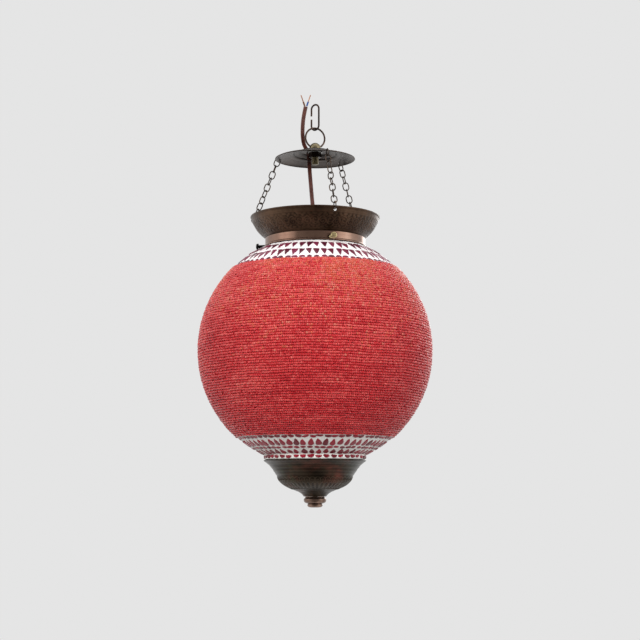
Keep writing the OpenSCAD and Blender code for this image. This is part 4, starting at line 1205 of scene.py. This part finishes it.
def tiles(name, rows, mats, node, slot_name, seed):
    g = np.random.default_rng(seed)
    V, F, MIx = [], [], []
    base = 0
    for spec in rows:
        n, tdeg, shape, h, w, off = spec[:6]
        skirt = len(spec) > 6
        for k in range(n):
            hh, ww = h * g.normal(1, 0.07), w * g.normal(1, 0.09)
            o2 = np.array(shape(hh, ww))
            o2 = o2 + g.normal(0, 0.035 * min(h, w), o2.shape)
            o2 = round_outline(o2[::-1] if shape is bowlp else o2)
            ar = 0.5 * np.sum(o2[:, 0] * np.roll(o2[:, 1], -1) - np.roll(o2[:, 0], -1) * o2[:, 1])
            if ar < 0:
                o2 = o2[::-1]
            an = g.normal(0, 0.085)
            ca, sa = math.cos(an), math.sin(an)
            o2 = o2 @ np.array([[ca, -sa], [sa, ca]]).T
            o2 = o2 + np.array([g.normal(0, 0.22), g.normal(0, 0.28)])
            ph0 = 2 * PI * (k + off + g.normal(0, 0.035)) / n
            top = 0.75 + g.normal(0, 0.1)
            tx, ty = g.normal(0, 0.03), g.normal(0, 0.035)
            cen = o2.mean(0)
            rings = []
            for sc, zz in ((1.04, -0.5), (1.0, top - 0.22), (0.93, top - 0.04), (0.72, top + 0.03)):
                q = cen + (o2 - cen) * sc
                rings.append((q, zz))
            m = len(o2)
            for q, zz in rings + [(cen[None], top + 0.05)]:
                lift = zz + (tx * q[:, 0] + ty * q[:, 1] if zz > 0 else 0)
                if skirt:
                    rad = 54.75 + lift
                    ph = ph0 + q[:, 1] / 54.75
                    V.append(np.stack([rad * np.cos(ph), rad * np.sin(ph), np.full(len(q), tdeg) - q[:, 0]], -1))
                else:
                    t = math.radians(tdeg) + q[:, 0] / RP
                    ph = ph0 + q[:, 1] / (RP * np.sin(t))
                    V.append(on_sphere(t, ph, RP + lift))
            for r_ in range(3):
                for a_ in range(m):
                    b_ = (a_ + 1) % m
                    F.append([base + r_ * m + a_, base + r_ * m + b_, base + (r_ + 1) * m + b_, base + (r_ + 1) * m + a_])
            for a_ in range(m):
                F.append([base + 3 * m + a_, base + 3 * m + (a_ + 1) % m, base + 4 * m])
            mi = int(g.integers(0, len(mats)))
            MIx += [mi] * (4 * m)
            base += 4 * m + 1
    o = make(name, np.concatenate(V), F, mats, MIx, sharp=55)
    put(o, "globe", node, slot=slot_name)
    return o


tiles("tiles_upper_set", [(53, 33, tri, 12.6, 7.3, 0), (63, 40.1, tri, 11.8, 7.4, 0.5), (72, 44.35, domep, 3.4, 6.6, 0.25)],
      up_mats, "tiles_upper", "tile_maroon", 41)
tiles("tiles_lower_set", [(67, 139.75, bowlp, 3.2, 7.0, 0), (60, 143.9, drop, 11.2, 6.5, 0.5), (60, 148.0, ovalp, 3.6, 6.4, 0.25),
                          (48, 151.6, drop, 9.6, 6.2, 0.5), (42, ZB + 8.9, bowlp, 3.3, 6.6, 0, True)],
      lo_mats, "tiles_lower", "tile_red", 42)

# --------------------------------------------------------------------- finial
st = threaded("finial_stud_threaded", 3.0, 1.0, ZB - 41.5, ZB + 14.5, steel, 32, 7)
put(st, "globe", "finial_stud", slot="steel_plated")
n1 = hexnut("n1", 10, 5, 3.0, ZB + 7, brass)
n2 = hexnut("n2", 10, 5, 3.0, ZB - 8.4, brass)
put(join("stud_nuts_hex", [n1, n2]), "globe", "stud_nuts", slot="brass_bright")
w1 = lathe("w1", fillet([(3.2, 0), (11, 0), (11, 1.2), (3.2, 1.2)], 0.2, 3), 64, steel, z0=ZB + 5.75)
w2 = lathe("w2", fillet([(3.2, 0), (14, 0), (14, 1.2), (3.2, 1.2)], 0.2, 3), 64, steel, z0=ZB - 3.35)
put(join("stud_washers_plain", [w1, w2]), "globe", "stud_washers", slot="steel_plated")
w1 = lathe("w1", fillet([(3.2, 0), (12, 0), (12, 2), (3.2, 2)], 0.5, 4), 64, rubber, z0=ZB + 3.7)
w2 = lathe("w2", fillet([(3.2, 0), (12, 0), (12, 2), (3.2, 2)], 0.5, 4), 64, rubber, z0=ZB - 2.1)
put(join("stud_gaskets_rubber", [w1, w2]), "globe", "stud_gaskets", slot="rubber_black")
put(lathe("stud_spacer_tube", fillet([(3.3, -32.25), (5, -32.25), (5, -8.5), (3.3, -8.5)], 0.25, 3), 48, brass_old, z0=ZB),
    "globe", "stud_spacer", slot="brass_old")

cup_c = [(55.35, 5.0), (54.3, 4.1), (53.0, 3.2), (50.4, 1.2), (48.0, -1.4), (45.7, -4.4), (43.4, -7.9), (41.7, -10.2), (41.0, -12),
         (39.6, -15.2), (37.2, -18.2), (34.0, -20.8), (30.6, -22.8), (26, -24.9), (20.9, -26.9), (17, -28.6), (14.4, -30.5), (12.8, -32.3),
         (12.2, -33.2)]
cc = resample(catmull(cup_c, 5), 0.55)
c_o, c_i = outline(cc, 0.9)
rimb = [(54.9 + 0.65 * math.cos(t), 5.3 + 0.65 * math.sin(t)) for t in np.linspace(math.radians(-30), math.radians(200), 10)]
prof = np.concatenate([c_o[::-1], rimb, c_i[2:][::2], [(12.0, -32.3), (3.3, -32.3), (3.3, -33.2)]])
n_co = len(c_o)
carc = np.zeros(len(prof))
carc[1:n_co] = np.cumsum(np.linalg.norm(np.diff(c_o[::-1], axis=0), axis=1))
ctot = carc[n_co - 1]
cn_ = np.zeros((len(prof), 2))
g = np.gradient(c_o[::-1], axis=0)
g /= np.linalg.norm(g, axis=1)[:, None]
cn_[:n_co] = np.stack([g[:, 1], -g[:, 0]], -1)
# arc positions of the embossed band, from the foot of the bowl up to the shoulder
zs = c_o[::-1][:, 1]
s_lo = float(np.interp(-26.0, zs, carc[:n_co]))
s_hi = float(np.interp(-10.6, zs, carc[:n_co]))
CH, cmx, cmy = motif(11.0, s_hi - s_lo, "leaf")
SEG_C = 1000


def cup_disp(th, i, pr):
    s = carc[i]
    on = (i < n_co)
    v = (s - s_lo) / (s_hi - s_lo)
    h = sample(CH, cmx, cmy, th * 23 / (2 * PI) + 0.015 * np.sin(5 * th), v + 0 * th)
    inb = np.clip(np.minimum(v, 1 - v) * 12, 0, 1)
    ground = 0.09 * np.sin(th * 283 + s * 8.0) * np.sin(s * 6.7 + 2.5 * np.sin(th * 71)) * (1 - np.clip(h * 3, 0, 1))
    d = (0.42 * h - 0.06 + ground) * inb * on
    for zl, wd, am in ((-9.4, 0.3, 0.25), (-7.6, 0.22, -0.22), (-5.9, 0.3, 0.22), (-4.2, 0.2, -0.2), (-2.2, 0.3, 0.2), (0.2, 0.22, -0.2), (1.6, 0.28, 0.22),
                       (3.2, 0.22, -0.16), (-27.3, 0.3, 0.28), (-28.8, 0.25, 0.22)):
        c_ = float(np.interp(zl, zs, carc[:n_co]))
        d = d + am * np.exp(-((s - c_) / wd) ** 2) * on
    d = d + 0.05 * np.sin(9 * th + 0.3 * s) * on * np.clip(v * 0 + (s > 2), 0, 1)
    return d * cn_[i, 0], d * cn_[i, 1]


cup = lathe("bottom_cup_embossed", prof, SEG_C, bronze_cup, z0=ZB, disp=cup_disp, sharp=None, weld=True, relief=True)
put(cup, "cup", "bottom_cup", slot="bronze_cup")

kn = [(3.05, -33.25), (10.4, -33.25), (10.5, -34.1), (11.2, -34.7), (12, -36.0), (12.15, -37.2), (11.9, -38.5), (11.0, -39.7), (9.4, -40.35), (8.3, -40.7), (7.7, -41.1),
      (8.1, -41.6), (8.3, -42.4), (8.1, -43.3), (7.4, -44.2), (6.0, -44.75), (3.5, -45.05), (0, -45.1)]
ko = catmull(kn[1:], 4)
knob = lathe("finial_knob_turned", np.concatenate([[kn[0]], ko, [(0, -42.5), (3.05, -42.5)]]), 160, bronze_knob, z0=ZB, sharp=55, weld=True)
put(knob, "knob", "finial_knob", slot="bronze_knob")

# ---------------------------------------------------------------------- stage
bpy.ops.mesh.primitive_plane_add(size=60, location=(0, 0, -1.55))
floor = bpy.context.object
floor.name = "floor"
fm, fnt, fb = new_mat("floor_pale")
fb.inputs["Roughness"].default_value = 0.9
fb.inputs["Base Color"].default_value = (0.86, 0.86, 0.86, 1)
floor.data.materials.append(fm)



def turn_of(nt, vec):
    """How far round from the front a direction points: 0 towards the viewer, 1 away."""
    sp = nt.nodes.new("ShaderNodeSeparateXYZ")
    nt.links.new(vec, sp.inputs[0])
    a = mathn(nt, "ARCTAN2", sp.outputs["X"], mathn(nt, "MULTIPLY", sp.outputs["Y"], -1.0))
    return mathn(nt, "DIVIDE", mathn(nt, "ABSOLUTE", a), PI), sp.outputs["Z"]


def shader(nt, kind, **kw):
    n = nt.nodes.new(kind)
    for k, v in kw.items():
        if isinstance(v, (float, tuple)):
            n.inputs[k].default_value = v
        else:
            nt.links.new(v, n.inputs[k])
    return n


# the floor is pale to the eye and fades into the backdrop far away; what it throws back is set apart from that
fgeo = fnt.nodes.new("ShaderNodeNewGeometry")
fturn, _z = turn_of(fnt, fgeo.outputs["Position"])
low_ring = ramp(fnt, fturn, [(0.0, (0.34, 0.33, 0.32)), (0.15, (0.42, 0.41, 0.40)), (0.25, (0.85, 0.84, 0.83)), (0.345, (1.4, 1.4, 1.4)), (0.6, (1.3, 1.3, 1.3)), (1.0, (0.95, 0.95, 0.95))])
flp = fnt.nodes.new("ShaderNodeLightPath")
thrown = shader(fnt, "ShaderNodeEmission", Color=mixc(fnt, flp.outputs["Is Glossy Ray"], (0.34, 0.334, 0.33), low_ring), Strength=1.0)
fcam = fnt.nodes.new("ShaderNodeCameraData")
blend_share = fnt.nodes.new("ShaderNodeMapRange")
blend_share.inputs["From Min"].default_value = 2.0
blend_share.inputs["From Max"].default_value = 9.0
fnt.links.new(fcam.outputs["View Distance"], blend_share.inputs["Value"])
far = shader(fnt, "ShaderNodeEmission", Color=(0.783, 0.783, 0.783, 1.0), Strength=1.0)
seen = fnt.nodes.new("ShaderNodeMixShader")
fnt.links.new(blend_share.outputs[0], seen.inputs[0])
fnt.links.new(fb.outputs[0], seen.inputs[1])
fnt.links.new(far.outputs[0], seen.inputs[2])
both = fnt.nodes.new("ShaderNodeMixShader")
fnt.links.new(flp.outputs["Is Camera Ray"], both.inputs[0])
fnt.links.new(thrown.outputs[0], both.inputs[1])
fnt.links.new(seen.outputs[0], both.inputs[2])
fnt.links.new(both.outputs[0], fnt.nodes["Material Output"].inputs["Surface"])

world = bpy.data.worlds.new("studio")
bpy.context.scene.world = world
world.use_nodes = True
nt = world.node_tree
bg = nt.nodes["Background"]
lp = nt.nodes.new("ShaderNodeLightPath")
tc = nt.nodes.new("ShaderNodeTexCoord")
around, wz = turn_of(nt, tc.outputs["Generated"])
up_f = mathn(nt, "ADD", mathn(nt, "MULTIPLY", wz, 0.5), 0.5)
ring_f = ramp(nt, around, [(0.0, (0.36, 0.35, 0.34)), (0.24, (0.5, 0.49, 0.48)), (0.345, (2.5, 2.48, 2.45)), (0.46, (2.5, 2.5, 2.5)), (0.53, (1.3, 1.3, 1.3)),
                           (0.8, (0.8, 0.8, 0.8)), (1.0, (1.1, 1.1, 1.1))])
tall = ramp(nt, up_f, [(0.0, (0.7, 0.7, 0.7)), (0.6, (1.0, 1.0, 1.0)), (1.0, (0.7, 0.7, 0.7))])
gloss = mixc(nt, 1.0, ring_f, tall, "MULTIPLY")
soft = ramp(nt, up_f, [(0.0, (0.16, 0.16, 0.16)), (0.42, (0.36, 0.36, 0.36)), (0.6, (0.58, 0.58, 0.58)), (1.0, (0.8, 0.8, 0.82))])
colr = mixc(nt, lp.outputs["Is Glossy Ray"], soft, gloss)
colr = mixc(nt, lp.outputs["Is Camera Ray"], colr, (0.783, 0.783, 0.783))
nt.links.new(colr, bg.inputs["Color"])
bg.inputs["Strength"].default_value = 1.0


def area(name, loc, target, sx_, sy_, power, col=(1, 1, 1), gloss=True):
    l = bpy.data.lights.new(name, "AREA")
    l.shape = "RECTANGLE"
    l.size, l.size_y = sx_, sy_
    l.energy = power
    l.color = col
    o = bpy.data.objects.new(name, l)
    o.location = loc
    o.rotation_euler = (Vector(target) - Vector(loc)).to_track_quat("-Z", "Y").to_euler()
    o.visible_glossy = gloss
    bpy.context.scene.collection.objects.link(o)
    return o


area("key", (-1.1, -2.0, 0.5), (0, 0, -0.25), 1.1, 1.3, 36, (1.0, 0.99, 0.97), gloss=False)
area("fill", (1.5, -1.7, 0.05), (0, 0, -0.25), 0.7, 1.3, 19, (0.98, 0.99, 1.0), gloss=False)
area("top", (0.0, -0.4, 1.5), (0, 0, -0.2), 1.6, 1.6, 12)
area("back", (0.9, 2.0, 0.4), (0, 0, -0.25), 1.6, 1.2, 14)

cam = bpy.data.cameras.new("camera")
cam.sensor_width = 36
cam.lens = 82.84
co = bpy.data.objects.new("camera", cam)
co.location = (0.0054, -1.6, -0.4325)
co.rotation_euler = (math.radians(90 + 6.847), 0, 0)
bpy.context.scene.collection.objects.link(co)
bpy.context.scene.camera = co
bpy.context.scene.view_settings.view_transform = "Standard"
